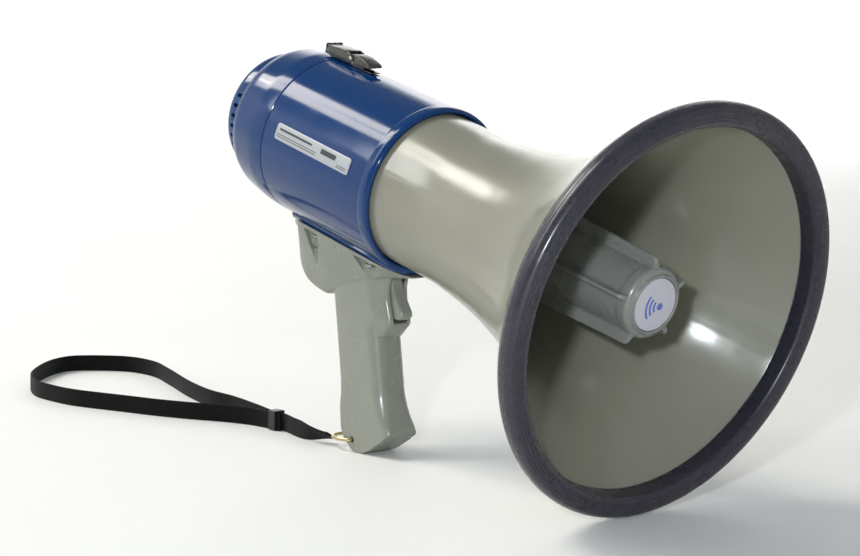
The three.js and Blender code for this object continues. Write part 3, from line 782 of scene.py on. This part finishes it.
def offset(points, distance):
    """Points moved to the inner side of a profile that runs towards the mouth."""
    out = []
    for i, p in enumerate(points):
        ahead = (points[min(i + 1, len(points) - 1)] - points[max(i - 1, 0)]).normalized()
        out.append(p + Vector((ahead.y, -ahead.x)) * distance)
    return out


def mould_line(x, r, t):
    """A faint raised line where the mould's parts met, on the outside only."""
    near = min(abs((t - line + math.pi) % (2 * math.pi) - math.pi) for line in MOULD_LINES)
    return 0.12 if near < 0.012 and x < -8 and r > 45.4 else 0


def make_bell():
    outside = catmull([Vector(p) for p in FLARE], 5)
    inside = offset(outside, HORN_WALL)
    inside[0].x = HORN_SHOULDER
    profile = [tuple(p) for p in outside] + [tuple(p) for p in reversed(inside)]
    profile += [(HORN_SHOULDER, 22), (HORN_REAR, 22)]
    bell = turned(profile, 240, mould_line)
    place(bell, "bell", "megaphone", HORN_GREY, ("horn_bell",), 40)


RIM_GROOVES = (
    (4.0, 104.4), (4.15, 106.2), (4.15, 108), (3.9, 109.8), (3.4, 111.6), (-2.6, 114.9), (-4.6, 114.6),
)
GROOVE_HALF = 0.34
GROOVE_DEPTH = 0.3
GROOVE_STEP = 0.16


def make_bumper():
    """Soft rubber section round the bell's edge, with fine grooves moulded into its face."""
    face = [
        (-11.6, 105.4, 0), (-11.2, 110.2, 1.5), (-6, 114.4, 3), (0, RIM_R, 2.5), (3.2, 113.2, 2.2),
        (4.2, 109, 1.5), (4.1, 105.2, 1.5), (2.2, 102, 1.4), (-3, 101.5, 0.5), (-7.2, 101.5, 0),
    ]
    outline = rounded(face, 8)
    dense = []
    for (x0, r0), (x1, r1) in zip(outline, outline[1:]):
        steps = max(1, int(math.hypot(x1 - x0, r1 - r0) / GROOVE_STEP))
        dense += [(x0 + (x1 - x0) * k / steps, r0 + (r1 - r0) * k / steps) for k in range(steps)]
    dense.append(outline[-1])
    cut_in = []
    for i, (x, r) in enumerate(dense):
        (xa, ra), (xb, rb) = dense[max(i - 1, 0)], dense[min(i + 1, len(dense) - 1)]
        length = math.hypot(xb - xa, rb - ra) or 1
        normal = (-(rb - ra) / length, (xb - xa) / length)
        near = min(math.hypot(x - gx, r - gr) for gx, gr in RIM_GROOVES)
        depth = GROOVE_DEPTH * max(0, 1 - (near / GROOVE_HALF) ** 2)
        cut_in.append((x - normal[0] * depth, r - normal[1] * depth))
    lip_out = [tuple(p) for p in offset([Vector(p) for p in FLARE[-3:]], -0.3)]
    lip_in = [tuple(p) for p in reversed(offset([Vector(p) for p in FLARE[-3:]], HORN_WALL + 0.3))]
    slot = [lip_in[1], (-1.4, 105.2), (-2.2, 108), lip_out[1]]
    bumper = turned(cut_in + [(-7.6, 101.5)] + slot, 240)
    place(bumper, "bumper", "megaphone", RUBBER, ("rim_bumper",), 50)


RIB_TIPS = [
    (-16.5, 22.6), (-16.8, 24.2), (-17.5, 25.2), (-18.6, 25.7), (-20, 25.8), (-30, 26), (-60, 26.8),
    (-110, 28.2),
    (-146, 30.6),
]


RIB_COUNT = 5
RIB_START = 0.1
DOT_AT = (3.4, -1.2)
ARC_HALF = 0.62
BADGE_FACE = -13.62
BADGE_DEEP = -13.9


def cup_radius(x):
    """Outside radius of the reflector cup at a station."""
    rows = [(-150, 26), (-110, 22.4), (-60, 20.4), (-21, 19.6), (-16, 19.4)]
    for (x0, r0), (x1, r1) in zip(rows, rows[1:]):
        if x <= x1:
            return r0 + (r1 - r0) * (x - x0) / (x1 - x0)
    return rows[-1][1]


def rib_section(x, tip):
    """A rib's cross-section (y, z): wide at its foot, rounded at its tip."""
    foot = cup_radius(x)
    half = [
        (3.1, foot - 0.7), (2.0, foot + 0.1), (1.4, foot + 0.9),
        (1.2, tip - 0.8), (0.9, tip - 0.25), (0.4, tip),
    ]
    return both_sides([(x, y, z) for y, z in half])


def make_reflector():
    """Cup with its ribs and rim, the badge disc in it, and the badge's generic dot and arcs."""
    cup = turned(rounded([
        (-17.2, 0), (-17.2, 13.8, 0.6), (-15, 14.9, 0.25), (-13.6, 15.1, 0.25), (-13.3, 15.6, 0.3),
        (-13.6, 16.5, 0.4),
        (-14.9, 16.9, 0.5), (-15.1, 17.7, 0.3), (-15.6, 18.9, 1.1), (-17.2, 19.9, 0.8), (-22, 20.1, 0.8),
        (-23.2, 19.7, 0.5), (-60, 20.4), (-110, 22.4), (-150, 26, 0.6), (-150, 24, 0.6), (-110, 20.4),
        (-60, 18.4),
        (-26, 17.6, 2), (-20, 12, 2), (-19, 0),
    ], 5), 144)
    ribs = []
    for i in range(RIB_COUNT):
        rings = [rib_section(x, tip) for x, tip in RIB_TIPS]
        ribs.append(around(loft(rings), -(RIB_START + i * 2 * math.pi / RIB_COUNT)))
    together(cup, *ribs)
    place(cup, "reflector_cup", "megaphone", REFLECTOR_GREY, ("reflector",), 34)
    badge = turned(rounded([
        (-13.75, 0), (-13.75, 14.3, 0.4), (-14.2, 14.75, 0.2), (-15.2, 14.75, 0.2), (-15.2, 0),
    ], 4), 96)
    place(badge, "badge_disc", "megaphone", BADGE, ("reflector_badge",), 34)
    dot = [(BADGE_DEEP, 0), (BADGE_DEEP, 1.9), (-13.68, 2.0), (BADGE_FACE, 1.8), (BADGE_FACE, 0)]
    inlays = [turned(dot, 48, center=DOT_AT)]
    for radius in (4.4, 7.2, 10):
        strip = []
        for k in range(20):
            a = math.radians(-38 + 4 * k)
            y = DOT_AT[0] - radius * math.cos(a)
            z = DOT_AT[1] + radius * math.sin(a)
            out = Vector((y - DOT_AT[0], z - DOT_AT[1])).normalized() * ARC_HALF
            strip.append([
                (BADGE_DEEP, y - out.x, z - out.y), (BADGE_DEEP, y + out.x, z + out.y),
                (BADGE_FACE, y + out.x, z + out.y), (BADGE_FACE, y - out.x, z - out.y),
            ])
        inlays.append(loft(strip))
    place(together(*inlays), "badge_arcs", "megaphone", BADGE_BLUE, (), 34)


# Tube, cap and microphone cover ---

PAD_OUTER = 51.7
PAD_INNER = 48.8
PAD_HALF = 20.5


def pad_ring(x, shrink):
    """Cross-section of the pad under the tube at a station, shrunk towards its ends."""
    outer, inner, half = PAD_OUTER - shrink, PAD_INNER, PAD_HALF - shrink
    reach = math.asin(half / PAD_OUTER)
    ring = []
    for k in range(29):
        t = -reach + 2 * reach * k / 28
        edge = min(1, (reach - abs(t)) / 0.02)
        r = inner + (outer - inner) * (0.55 + 0.45 * math.sqrt(1 - (1 - edge) ** 2))
        ring.append((x, r * math.sin(t), -r * math.cos(t)))
    for k in range(28, -1, -1):
        t = -reach + 2 * reach * k / 28
        ring.append((x, inner * math.sin(t), -inner * math.cos(t)))
    return ring


def make_tube():
    """Battery tube with its rolled front bead, and the pad that seats the grip."""
    tube = turned(rounded([
        (SEAM_X, TUBE_R - 0.5), (SEAM_X + 0.5, TUBE_R, 0.3), (-205.6, TUBE_R, 0.4), (-204.6, 49.5, 0.5),
        (-200.6, 49.7, 0.8),
        (-198.2, 49.2, 1), (-197.5, 47.9, 0.5), (-198.1, 46.6, 0.4), (-200.5, 46.4, 0.3), (-201.5, 46.8),
        (SEAM_X + 0.4, 46.8, 0.3),
        (SEAM_X, 47.2, 0.2),
    ], 5), 200)
    rows = [(-297.5, 1.2), (-297.1, 0.4), (-296.2, 0), (-202, 0), (-200, 0.5), (-198.9, 1.5), (-198.6, 2.4)]
    pad = loft([pad_ring(x, shrink) for x, shrink in rows])
    together(tube, pad)
    place(tube, "tube", "megaphone", BLUE, ("body_tube",), 34)


def plate_patch(x0, x1, low, high, r0, r1, corner=0.0, rows=18, columns=40):
    """Curved patch on the tube's near side between two angles, with rounded corners."""
    half = math.radians(high - low) / 2
    middle = math.radians(high + low) / 2
    tall = half * r1
    rings = []
    for k in range(rows + 1):
        u = -tall + 2 * tall * k / rows
        inset = 0.0
        if corner and abs(u) > tall - corner:
            inset = corner - math.sqrt(max(corner ** 2 - (abs(u) - tall + corner) ** 2, 0))
        t = middle + u / r1
        xs = [x0 + inset + (x1 - x0 - 2 * inset) * j / columns for j in range(columns + 1)]
        outer = [(x, -r1 * math.sin(t), r1 * math.cos(t)) for x in xs]
        inner = [(x, -r0 * math.sin(t), r0 * math.cos(t)) for x in reversed(xs)]
        rings.append(outer + inner)
    return loft(rings)


BAR_INNER = 49.8
BAR_OUTER = 49.9
PLATE_BARS = (
    (-285, -254, 75.4, 76.9), (-286.5, -249, 79.5, 80.0), (-286.5, -249, 81.0, 81.5),
    (-245, -231, 75.2, 78.6), (-229, -220, 80.1, 80.6), (-229, -220, 81.4, 81.9),
)


def make_name_plate():
    """Foil plate with plain bars where a real one is printed."""
    plate = plate_patch(-288, -218, 72.5, 83.7, 49.25, 49.85, corner=1.4)
    softened(plate, 0.12, 2, 50)
    place(plate, "name_plate_foil", "megaphone", PLATE, ("name_plate",), 40)
    bars = [plate_patch(*bar, BAR_INNER, BAR_OUTER) for bar in PLATE_BARS]
    place(together(*bars), "name_plate_bars", "megaphone", INK, (), 40)


def make_cap():
    """Rear cap behind the seam, with the spigot that enters the tube."""
    seam = SEAM_X - 0.3
    cap = turned(rounded([
        (-336, 0), (-336, 43, 0.5), (-334.6, 44.8, 1.2), (-330, 46.5, 2), (-322, 47.6, 3), (-312, 49, 2),
        (seam - 0.5, TUBE_R, 0.3), (seam, TUBE_R - 0.5, 0.2), (seam, 46, 0.2), (-298.4, 46), (-298.4, 45.2),
        (-296.2, 45.2),
        (-296.2, 46), (-294.8, 46, 0.4), (-294.8, 44.2, 0.4), (-328, 44.2, 1), (-334, 41.4, 1), (-334, 0),
    ], 5), 200)
    place(cap, "cap_shell", "cap", BLUE, ("rear_cap",), 34)


DRUM_REAR = -354.6
MIC_Z = 8
KNOB_Z = -22
SLOT_FIRST = 69
SLOT_PITCH = 9.4
MIC_HOLE = 1.3
MIC_CIRCLE = 5


def copied(obj):
    """A second object with its own copy of the mesh."""
    other = bpy.data.objects.new(obj.name, obj.data.copy())
    bpy.context.scene.collection.objects.link(other)
    return other


def make_microphone_cover():
    """Drum with sound slots in its sides and holes over the microphone."""
    drum = turned(rounded([
        (DRUM_REAR, 0), (DRUM_REAR, 29, 3), (-353.4, 33.4, 3), (-351, 37, 3), (-347.6, 38.8, 2),
        (-343, 39.3, 3),
        (-336.4, 39.5, 0.3), (-336.4, 37.5, 0.3), (-343, 37.2, 2), (-349.6, 34.6, 4), (-352.6, 28, 3),
        (-352.6, 0),
    ], 6), 200)
    slot = softened(box(-345.4, -337.3, -1.15, 1.15, 33, 48), 1.1, 5)
    cutters = []
    for side in (-1, 1):
        for i in range(6):
            cutters.append(around(copied(slot), side * math.radians(SLOT_FIRST + i * SLOT_PITCH)))
    bpy.data.objects.remove(slot)
    cutters.append(rod("x", (DRUM_REAR, 0, MIC_Z), MIC_HOLE, 8, 24))
    for i in range(6):
        t = i * math.pi / 3
        hole = (DRUM_REAR, MIC_CIRCLE * math.sin(t), MIC_Z + MIC_CIRCLE * math.cos(t))
        cutters.append(rod("x", hole, MIC_HOLE, 8, 24))
    cutters.append(rod("x", (DRUM_REAR, 0, KNOB_Z), 3.3, 8, 32))
    combine(drum, "DIFFERENCE", *cutters)
    softened(drum, 0.2, 2, 40)
    place(drum, "microphone_cover", "cap", BLUE, ("mic_cover",), 40)


def make_knob():
    """Fluted volume dial on the rear face, with a plain pointer mark."""
    def flutes(x, r, t):
        return -0.55 * max(0, math.cos(10 * t)) ** 3 if r > 7 else 0

    knob = turned(rounded([
        (-355.3, 3.1), (-355.3, 9.4, 0.4), (-359, 9.1, 1.2), (-360.1, 7.8, 0.8), (-359.9, 6.6, 0.4),
        (-359.7, 0),
    ], 5), 120, flutes, center=(0, KNOB_Z))
    place(knob, "volume_dial", "volume_knob", DARK, ("volume_knob",), 34)
    mark = softened(box(-360.6, -359.2, -0.55, 0.55, -19.6, -14.4), 0.25, 2)
    place(mark, "volume_mark", "volume_knob", MARK, (), 34)


make_bell()
make_bumper()
make_reflector()
make_tube()
make_name_plate()
make_cap()
make_microphone_cover()
make_knob()

# Cap hinge and draw latch ---

HINGE_BARREL = 2.9
HINGE_PIN = 1.3


def make_cap_hinge():
    """Leaf on the cap with the middle knuckle, leaf on the tube with the outer two, and the pin."""
    x, _, z = CAP_HINGE
    web = [(x - HINGE_BARREL, z), (x - HINGE_BARREL, -50.4), (x - 1.2, -50.4), (x - 1.2, z)]
    cap_leaf = together(
        rod("y", (x, 0, z), HINGE_BARREL, 9.8, 48, 0.35),
        softened(box(-312, x - 0.4, -4.9, 4.9, -51.9, -49.9), 0.35),
        softened(slab(web, -4.9, 4.9), 0.2),
    )
    place(cap_leaf, "hinge_leaf_cap", "cap", STEEL, ("cap_hinge_leaf",), 34)
    leaf = softened(slab([
        (x, -56.6), (-293, -56.6), (-293, -52.6), (-299, -52.6), (x, -53.8),
    ], -9, 9), 0.3)
    combine(leaf, "DIFFERENCE", box(-308, -299.9, -5.3, 5.3, -60, -48))
    for side in (-7.2, 7.2):
        together(leaf, rod("y", (x, side, z), HINGE_BARREL, 3.5, 48, 0.35))
    place(leaf, "hinge_leaf_tube", "megaphone", STEEL, ("body_hinge_leaf",), 34)
    pin = rod("y", (x, 0, z), HINGE_PIN, 18.6, 32, 0.4)
    place(pin, "hinge_pin", "megaphone", STEEL, ("cap_hinge_pin",), 34)


ROLL_LENGTH = 2.9
ROLL_RADIUS = 1.5


def make_latch_base(lx):
    """Foot plate with two ears that hold the lever's pin."""
    ear = [(-285, 50), (-285, 51.4), (lx - 1.2, 53), (lx + 1.2, 53), (-279, 50)]
    base = together(
        softened(box(-286, -266, -3.4, 3.4, 49.55, 50.25), 0.2),
        softened(slab(ear, -3.4, -2.6), 0.15),
        softened(slab(ear, 2.6, 3.4), 0.15),
    )
    place(base, "latch_foot", "megaphone", NICKEL, ("latch_base",), 34)


def make_latch_lever(lx, lz):
    """Pressed lever: arched top with a lifting lip, two sides, and its pin."""
    plate = softened(slab(rounded([
        (-285.7, 54.6), (-285.7, 55.3, 0.3), (-284.6, 56.3, 1), (-281.6, 57, 2), (-278.2, 57, 2),
        (-273, 56.2, 3),
        (-268.6, 55.1, 1), (-266.7, 54.4, 0.7), (-266.2, 53.4, 0.6), (-267.1, 52.5, 0.5), (-268.4, 53, 0.5),
        (-274, 55, 2), (-279, 55.9, 2), (-282, 55.9, 1),
    ], 4), -4.8, 4.8), 0.3, 3, 50)
    sides = []
    for y in (-4.78, 3.9):
        sides.append(softened(slab(rounded([
            (-285.7, 52.2, 0.6), (-285.7, 55, 0.3), (-284.6, 55.9, 0.8), (-281.6, 56.5, 2),
            (-278.2, 56.5, 2), (-273, 55.6, 2),
            (-268.6, 54.2), (-269.4, 52.8, 0.5), (-272.6, 50.6, 1), (-280, 50.5), (-284, 51.1, 1),
        ], 4), y, y + 0.88), 0.12))
    lever = together(plate, *sides)
    combine(lever, "DIFFERENCE", rod("y", (lx, 0, lz), 0.9, 12, 24))
    place(lever, "latch_handle", "latch_lever", NICKEL, ("latch_lever",), 34)
    pin = rod("y", (lx, 0, lz), 0.8, 10.2, 24, 0.3)
    place(pin, "latch_handle_pin", "megaphone", STEEL, ("latch_lever_pin",), 34)


def make_latch_claw(cx, cz):
    """Hook that draws the cap in: cover, rear wall, two cheeks, three rolled knuckles, and its rivet."""
    cover = softened(slab(rounded([
        (-308.4, 54.6), (-308.1, 55.6, 0.4), (-307, 56, 0.6), (-298, 56.8), (-288.8, 57.4),
        (-287.7, 57.2, 0.3),
        (-287.7, 56.3, 0.3), (-298, 55.8), (-307.2, 55.1), (-307.5, 54.6),
    ], 4), -5.5, 5.5), 0.25)
    back = softened(box(-308.4, -307.5, -5.4, 5.4, 50.5, 55.6), 0.2)
    cheeks = []
    for y in (-5.5, 4.7):
        cheeks.append(softened(slab(rounded([
            (-308.2, 51.6, 0.6), (-308.2, 55.3, 0.3), (-307, 55.7), (-298, 56.5), (-288.6, 57.1),
            (-284.6, 56.6, 1.6),
            (-282, 55.2, 1.6), (-281.6, 53.2, 1), (-283, 51.5, 1), (-288, 50.5), (-304, 50.4),
            (-306.6, 50.6, 1),
        ], 4), y, y + 0.8), 0.22))
    rolls = [
        rod("y", (-307, (y + y + ROLL_LENGTH) / 2, 55.5), ROLL_RADIUS, y + ROLL_LENGTH - y, 36, 0.3)
        for y in (-5.5, -1.45, 2.6)
    ]
    claw = together(cover, back, *cheeks, *rolls)
    place(claw, "latch_hook", "latch_claw", NICKEL, ("latch_claw",), 34)
    rivet = turned(rounded([
        (-6.2, 0), (-6.1, 1.0, 0.4), (-5.5, 1.5, 0.3), (-5.45, 0.8), (5.45, 0.8), (5.5, 1.5, 0.3),
        (6.1, 1.0, 0.4), (6.2, 0),
    ], 4), 32)
    rivet.data.transform(Matrix.Translation((cx, 0, cz)) @ Matrix.Rotation(math.pi / 2, 4, "Z"))
    place(rivet, "latch_hook_rivet", "latch_claw", STEEL, ("latch_claw_pin",), 34)


def make_latch():
    """Draw latch over the seam, with the lip on the cap that it hooks."""
    make_latch_base(LEVER_PIVOT[0])
    make_latch_lever(*LEVER_PIVOT)
    make_latch_claw(*CLAW_PIVOT)
    strike = softened(slab([
        (-305.3, 49.4), (-305.3, 50.9), (-304.4, 50.9), (-303.6, 50.2), (-301.6, 50.1), (-301.6, 49.4),
    ], -4, 4), 0.2)
    place(strike, "latch_strike_lip", "cap", NICKEL, ("latch_strike",), 34)


# Grip, trigger and screws ---

HEEL = (-209.5, -167)
TILT = math.atan2(-HEEL[1] - RIM_R, -HEEL[0])


SADDLE = [
    (-291.8, 19.0, 13.2, -66), (-291.2, 19.5, 13.2, -70), (-290, 19.9, 13, -75),
    (-286.5, 20.3, 12.6, -80.6),
    (-281, 20.3, 12.3, -84.2), (-272, 20.3, 12, -86), (-262, 20.3, 12, -85.6), (-254, 20.3, 12.1, -80),
    (-246, 20.3, 12.4, -74), (-237, 20.3, 12.6, -69.3), (-228, 20.3, 12.7, -65.2), (-220, 20, 12.7, -61),
    (-214, 19.4, 12.5, -58), (-207, 16.8, 11.4, -55.6), (-201, 12.6, 9, -53.8), (-197.2, 7.4, 6, -52.7),
]


def saddle_ring(row):
    """Cross-section of the saddle: upright edge by the tube, then sides sloping in to its underside."""
    x, top, low, floor = row
    side = -49.4
    points = [(top, -38, 0), (top, side, 1.5), (low + 0.2, floor + 1.6, 1.6), (low - 1.8, floor, 1.2)]
    half = rounded(points + [(0, floor)], 4)[:-1]
    return both_sides([(x, y, z) for y, z in half])


def make_saddle():
    """Saddle that carries the tube, from its rear end to its nose."""
    rows = catmull([Vector(row) for row in SADDLE], 3)
    return loft([saddle_ring(tuple(r)) for r in rows])


def smooth_rows(rows, steps):
    """Smooth rows of any width, by Catmull-Rom on the row number."""
    rows = [list(r) for r in rows]
    before = [2 * a - b for a, b in zip(rows[0], rows[1])]
    after = [2 * a - b for a, b in zip(rows[-1], rows[-2])]
    ext = [before, *rows, after]
    out = []
    for i in range(1, len(ext) - 2):
        for k in range(steps):
            t = k / steps
            out.append([
                0.5 * (2 * b + (c - a) * t + (2 * a - 5 * b + 4 * c - d) * t * t
                       + (3 * b - a - 3 * c + d) * t ** 3)
                for a, b, c, d in zip(ext[i - 1], ext[i], ext[i + 1], ext[i + 2])
            ])
    out.append(rows[-1])
    return out


GRIP_COLUMN = [
    (-74, -265, -215, 8, 12), (-84, -260, -214, 8.5, 12), (-92, -257.2, -213.2, 9, 12),
    (-104, -252.6, -208.3, 9.5, 12),
    (-116, -247.8, -203.4, 9.5, 12), (-128, -243.2, -198.4, 9.5, 12), (-138, -239.4, -192, 8.5, 12),
    (-146, -236.5, -185.5, 6, 12), (-158, -231, -183, 3.5, 12), (-172, -226, -183, 2.5, 12),
]


def grip_ring(row):
    """Cross-section of the handle at a height: a rectangle with round corners."""
    z, rear, front, corner, w = row
    ring = []
    centers = [(front - corner, w - corner), (rear + corner, w - corner), (rear + corner, corner - w),
               (front - corner, corner - w)]
    for q, (cx, cy) in enumerate(centers):
        for k in range(9):
            t = (q + k / 8) * math.pi / 2
            ring.append((cx + corner * math.cos(t), cy + corner * math.sin(t), z))
    return ring


HOUSING = [
    (-54, -213.8), (-61.5, -213.8), (-66, -213.4), (-72, -211.4), (-77, -208.6), (-80, -206.8),
    (-83, -205.4),
    (-84.4, -205.2), (-85.6, -205.4), (-86.4, -205.9), (-94.2, -210.6), (-95.6, -213), (-99, -213),
]


def housing_ring(z, front):
    """Cross-section of the trigger housing: it narrows towards the trigger, with rounded front edges."""
    rear = -250 if z > -84 else -240
    side = rounded([(rear, 12.15), (front - 13, 12.15, 3), (front, 8.1, 3), (front, 0)], 6)[:-1]
    return both_sides([(x, y, z) for x, y in side])


SCREW_HEAD_WELL = 3.4
SCREW_BORE = 1.8


def make_grip():
    """Saddle, trigger housing and handle fused into one moulding, with its slot, wells and bores."""
    outline = rounded([
        (-263, -76), (-260.5, -83, 4), (-256.6, -93, 6), (-252.4, -104, 6), (-246.6, -118.4, 6),
        (-240.4, -135, 6),
        (-235, -149, 6), (-230.6, -157.6, 4), (-224.5, -163.2, 3), (-218, -166.6, 2.5),
        (-213.5, -167.99, 1.5),
        (HEEL[0], HEEL[1], 1.5), (-205.5, -165.6, 2), (-200, -161.4, 3), (-191.5, -152.6, 4),
        (-187, -147.2, 2.2),
        (-186.8, -144.6, 1.6), (-189.6, -141.6, 2), (-194.4, -135.8, 4), (-198.6, -128, 5),
        (-203.3, -117, 6),
        (-208.5, -104, 6), (-213.5, -92.5, 5), (-217, -78),
    ], 5)
    side = slab(outline, -14, 14)
    column = loft([grip_ring(r) for r in smooth_rows(GRIP_COLUMN, 4)])
    handle = combine(column, "INTERSECT", side)

    housing = loft([housing_ring(*row) for row in HOUSING])
    body = combine(make_saddle(), "UNION", housing, handle)

    seat = turned([(-320, 0), (-320, 52.05), (-190, 52.05), (-190, 0)], 160)
    slot = slab([(-224, -57.3), (-208, -57.3), (-190, -70), (-190, -83.9), (-224, -83.9)], -5.25, 5.25)
    tools = [seat, slot, rod("x", (-226, 0, -66.5), 3.1, 9, 24), box(-238, -222, -3.6, 3.6, -82, -71),
             box(-300, -292.4, -9.5, 9.5, -58, -40)]
    for mirror in (1, -1):
        rear = slab([(-284.4, -50.5), (-270.8, -50.5), (-269.8, -55.5), (-270.8, -71)], 14.6, 30)
        front = slab([(-236.4, -50.5), (-214.6, -50.5), (-225.6, -61.2)], 14.6, 30)
        for scoop in (rear, front):
            softened(scoop, 0.8, 3)
            if mirror < 0:
                scoop.data.transform(Matrix.Scale(-1, 4, (0, 1, 0)))
                scoop.data.flip_normals()
            tools.append(scoop)
    for x, y in SCREWS:
        tools.append(rod("z", (x, y, -56.6), SCREW_HEAD_WELL, 9, 28))
        tools.append(rod("z", (x, y, -50), SCREW_BORE, 8, 20))
    tools.append(rod("y", (TRIGGER_PIVOT[0], 0, TRIGGER_PIVOT[1]), 1.6, 15.6, 24))
    tools.append(rod("y", (RING_HOLE[0], 0, RING_HOLE[1]), 1.7, 40, 24))
    combine(body, "DIFFERENCE", *tools)
    moulded(body, 0.5, 3)
    place(body, "grip", "megaphone", GRIP_GREY, ("grip_housing",), 60)


TRIGGER_HALF = 4.8
TRIGGER_FRONT = [
    (-57, -215), (-60, -214.9), (-62, -214.6), (-64, -213.4), (-67, -210.9), (-70, -207.9), (-72.6, -205),
    (-74.8, -202.5),
    (-76, -201.4), (-77.2, -200.9), (-78.6, -201), (-79.8, -201.9), (-82, -204),
]


def trigger_ring(z, front):
    """Cross-section of the trigger: rounded across its front."""
    side = rounded([(-230, TRIGGER_HALF), (front, TRIGGER_HALF, 4), (front, 0)], 8)[:-1]
    return both_sides([(x, y, z) for x, y in side])


def make_trigger():
    """Finger lever with a hollow front face and a nose at its foot."""
    outline = rounded([
        (-220.4, -58.6), (-214, -58.6), (-214, -62), (-198, -74), (-198, -79.8), (-202.2, -80.6, 0.8),
        (-204.6, -81, 1), (-213, -81.3, 2), (-219.6, -80.4, 1), (-220.4, -77, 1),
    ], 5)
    column = loft([trigger_ring(*row) for row in TRIGGER_FRONT])
    trigger = combine(slab(outline, -TRIGGER_HALF - 1, TRIGGER_HALF + 1), "INTERSECT", column)
    combine(
        trigger, "DIFFERENCE",
        rod("y", (TRIGGER_PIVOT[0], 0, TRIGGER_PIVOT[1]), 1.35, 20, 24),
        rod("x", (-221.2, 0, -66.5), 2.9, 5, 20),
    )
    softened(trigger, 0.5, 3, 42)
    place(trigger, "talk_trigger", "trigger", GRIP_GREY, ("trigger",), 42)


CROSS_LONG = 1.5
CROSS_SHORT = 0.35


def make_screws():
    """Pan-head screws with a cross recess."""
    for i, (x, y) in enumerate(SCREWS):
        screw = turned(rounded([
            (-54.4, 0), (-54.2, 1.6, 0.6), (-53.2, 2.8, 0.5), (-52.3, 2.8, 0.2), (-52.3, 1.4, 0.1),
            (-44.2, 1.4, 0.3), (-43.9, 0),
        ], 4), 36)
        screw.data.transform(Matrix.Rotation(-math.pi / 2, 4, "Y"))
        screw.data.transform(Matrix.Translation((x, y, 0)))
        cross = []
        for a, b in ((CROSS_LONG, CROSS_SHORT), (CROSS_SHORT, CROSS_LONG)):
            cross.append(softened(box(x - a, x + a, y - b, y + b, -55, -53.3), 0.1, 2))
        combine(screw, "DIFFERENCE", *cross)
        place(screw, f"screw_{i + 1}", "megaphone", STEEL, (f"grip_screw_{i + 1}",), 34)


# Ring and clip ---

RING_HALF = 14.6
RING_LENGTH = 21
RING_WIRE = 1.1
RING_DROP = -TILT - 0.02


def make_ring():
    """Wire ring through the heel, nearly level with the floor; its ends meet inside the hole."""
    def at(back, y):
        return Vector((
            RING_HOLE[0] - back * math.cos(RING_DROP), y, RING_HOLE[1] + back * math.sin(RING_DROP),
        ))

    half = [(0, 0.3), (0, 11), (0.8, RING_HALF - 0.6), (4, RING_HALF), (RING_LENGTH - 8, RING_HALF),
            (RING_LENGTH - 1.6, 11), (RING_LENGTH, 6)]
    points = [at(*p) for p in half] + [at(back, -y) for back, y in reversed(half)]
    ring = sweep(catmull(points, 8), circle(RING_WIRE, 20))
    place(ring, "wire_ring", "strap_ring", BRASS, ("strap_ring",), 50)


CLIP_WALL = 0.9 * MM
CLIP_LIP = 0.0003
CLIP_CORNER_OUT = 0.0012
CLIP_CORNER_IN = 0.0006


def clip_outline(low, high, inset, corner):
    """Rounded rectangle (y, z) inside the clip's box."""
    y0, y1, z0, z1 = low.y + inset, high.y - inset, low.z + inset, high.z - inset
    return rounded([(y0, z0, corner), (y1, z0, corner), (y1, z1, corner), (y0, z1, corner)], 4, loop=True)


def make_clip():
    """Crimp that joins the end of the webbing to its standing part."""
    low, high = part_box("strap_clip")
    outer = clip_outline(low, high, 0, CLIP_CORNER_OUT)
    inner = clip_outline(low, high, CLIP_WALL, CLIP_CORNER_IN)
    rings = []
    for x in (low.x, low.x + CLIP_LIP, high.x - CLIP_LIP, high.x):
        rings.append([(x, y, z) for y, z in outer])
    for x in (high.x, low.x):
        rings.append([(x, y, z) for y, z in inner])
    n = len(outer)
    verts = [p for ring in rings for p in ring]
    faces = []
    for k in range(len(rings)):
        for i in range(n):
            m = (i + 1) % n
            j = (k + 1) % len(rings)
            faces.append((k * n + i, k * n + m, j * n + m, j * n + i))
    clip = raw(verts, faces)
    place(clip, "webbing_clip", "megaphone", DARK, ("strap_clip",), 34, None)
    return clip


make_cap_hinge()
make_latch()
make_grip()
make_trigger()
make_screws()
make_ring()
clip = make_clip()


# Carried-over CAD parts ---

CARRIED = {
    "tone_tube": REFLECTOR_GREY, "driver_ring": DARK, "driver_diaphragm": FILM, "driver_top_plate": STEEL,
    "driver_magnet": FERRITE, "driver_yoke": STEEL, "cap_seal": SEAL, "mic_holder": SEAL,
    "mic_capsule": CAPSULE,
    "volume_pot": CAPSULE, "battery_holder": DARK, "rear_contact_plate": BRASS,
    "front_contact_plate": BRASS,
    "amplifier_board": BOARD, "amplifier_transformer": FERRITE, "amplifier_capacitor": CAPACITOR,
    "trigger_pin": STEEL, "trigger_spring": STEEL, "talk_switch": DARK, "switch_plunger": RED,
}
for i in range(1, 7):
    CARRIED[f"battery_cell_{i}"] = SLEEVE
for node, material in CARRIED.items():
    for material_slot in frame["nodes"][node].material_slots:
        material_slot.material = material
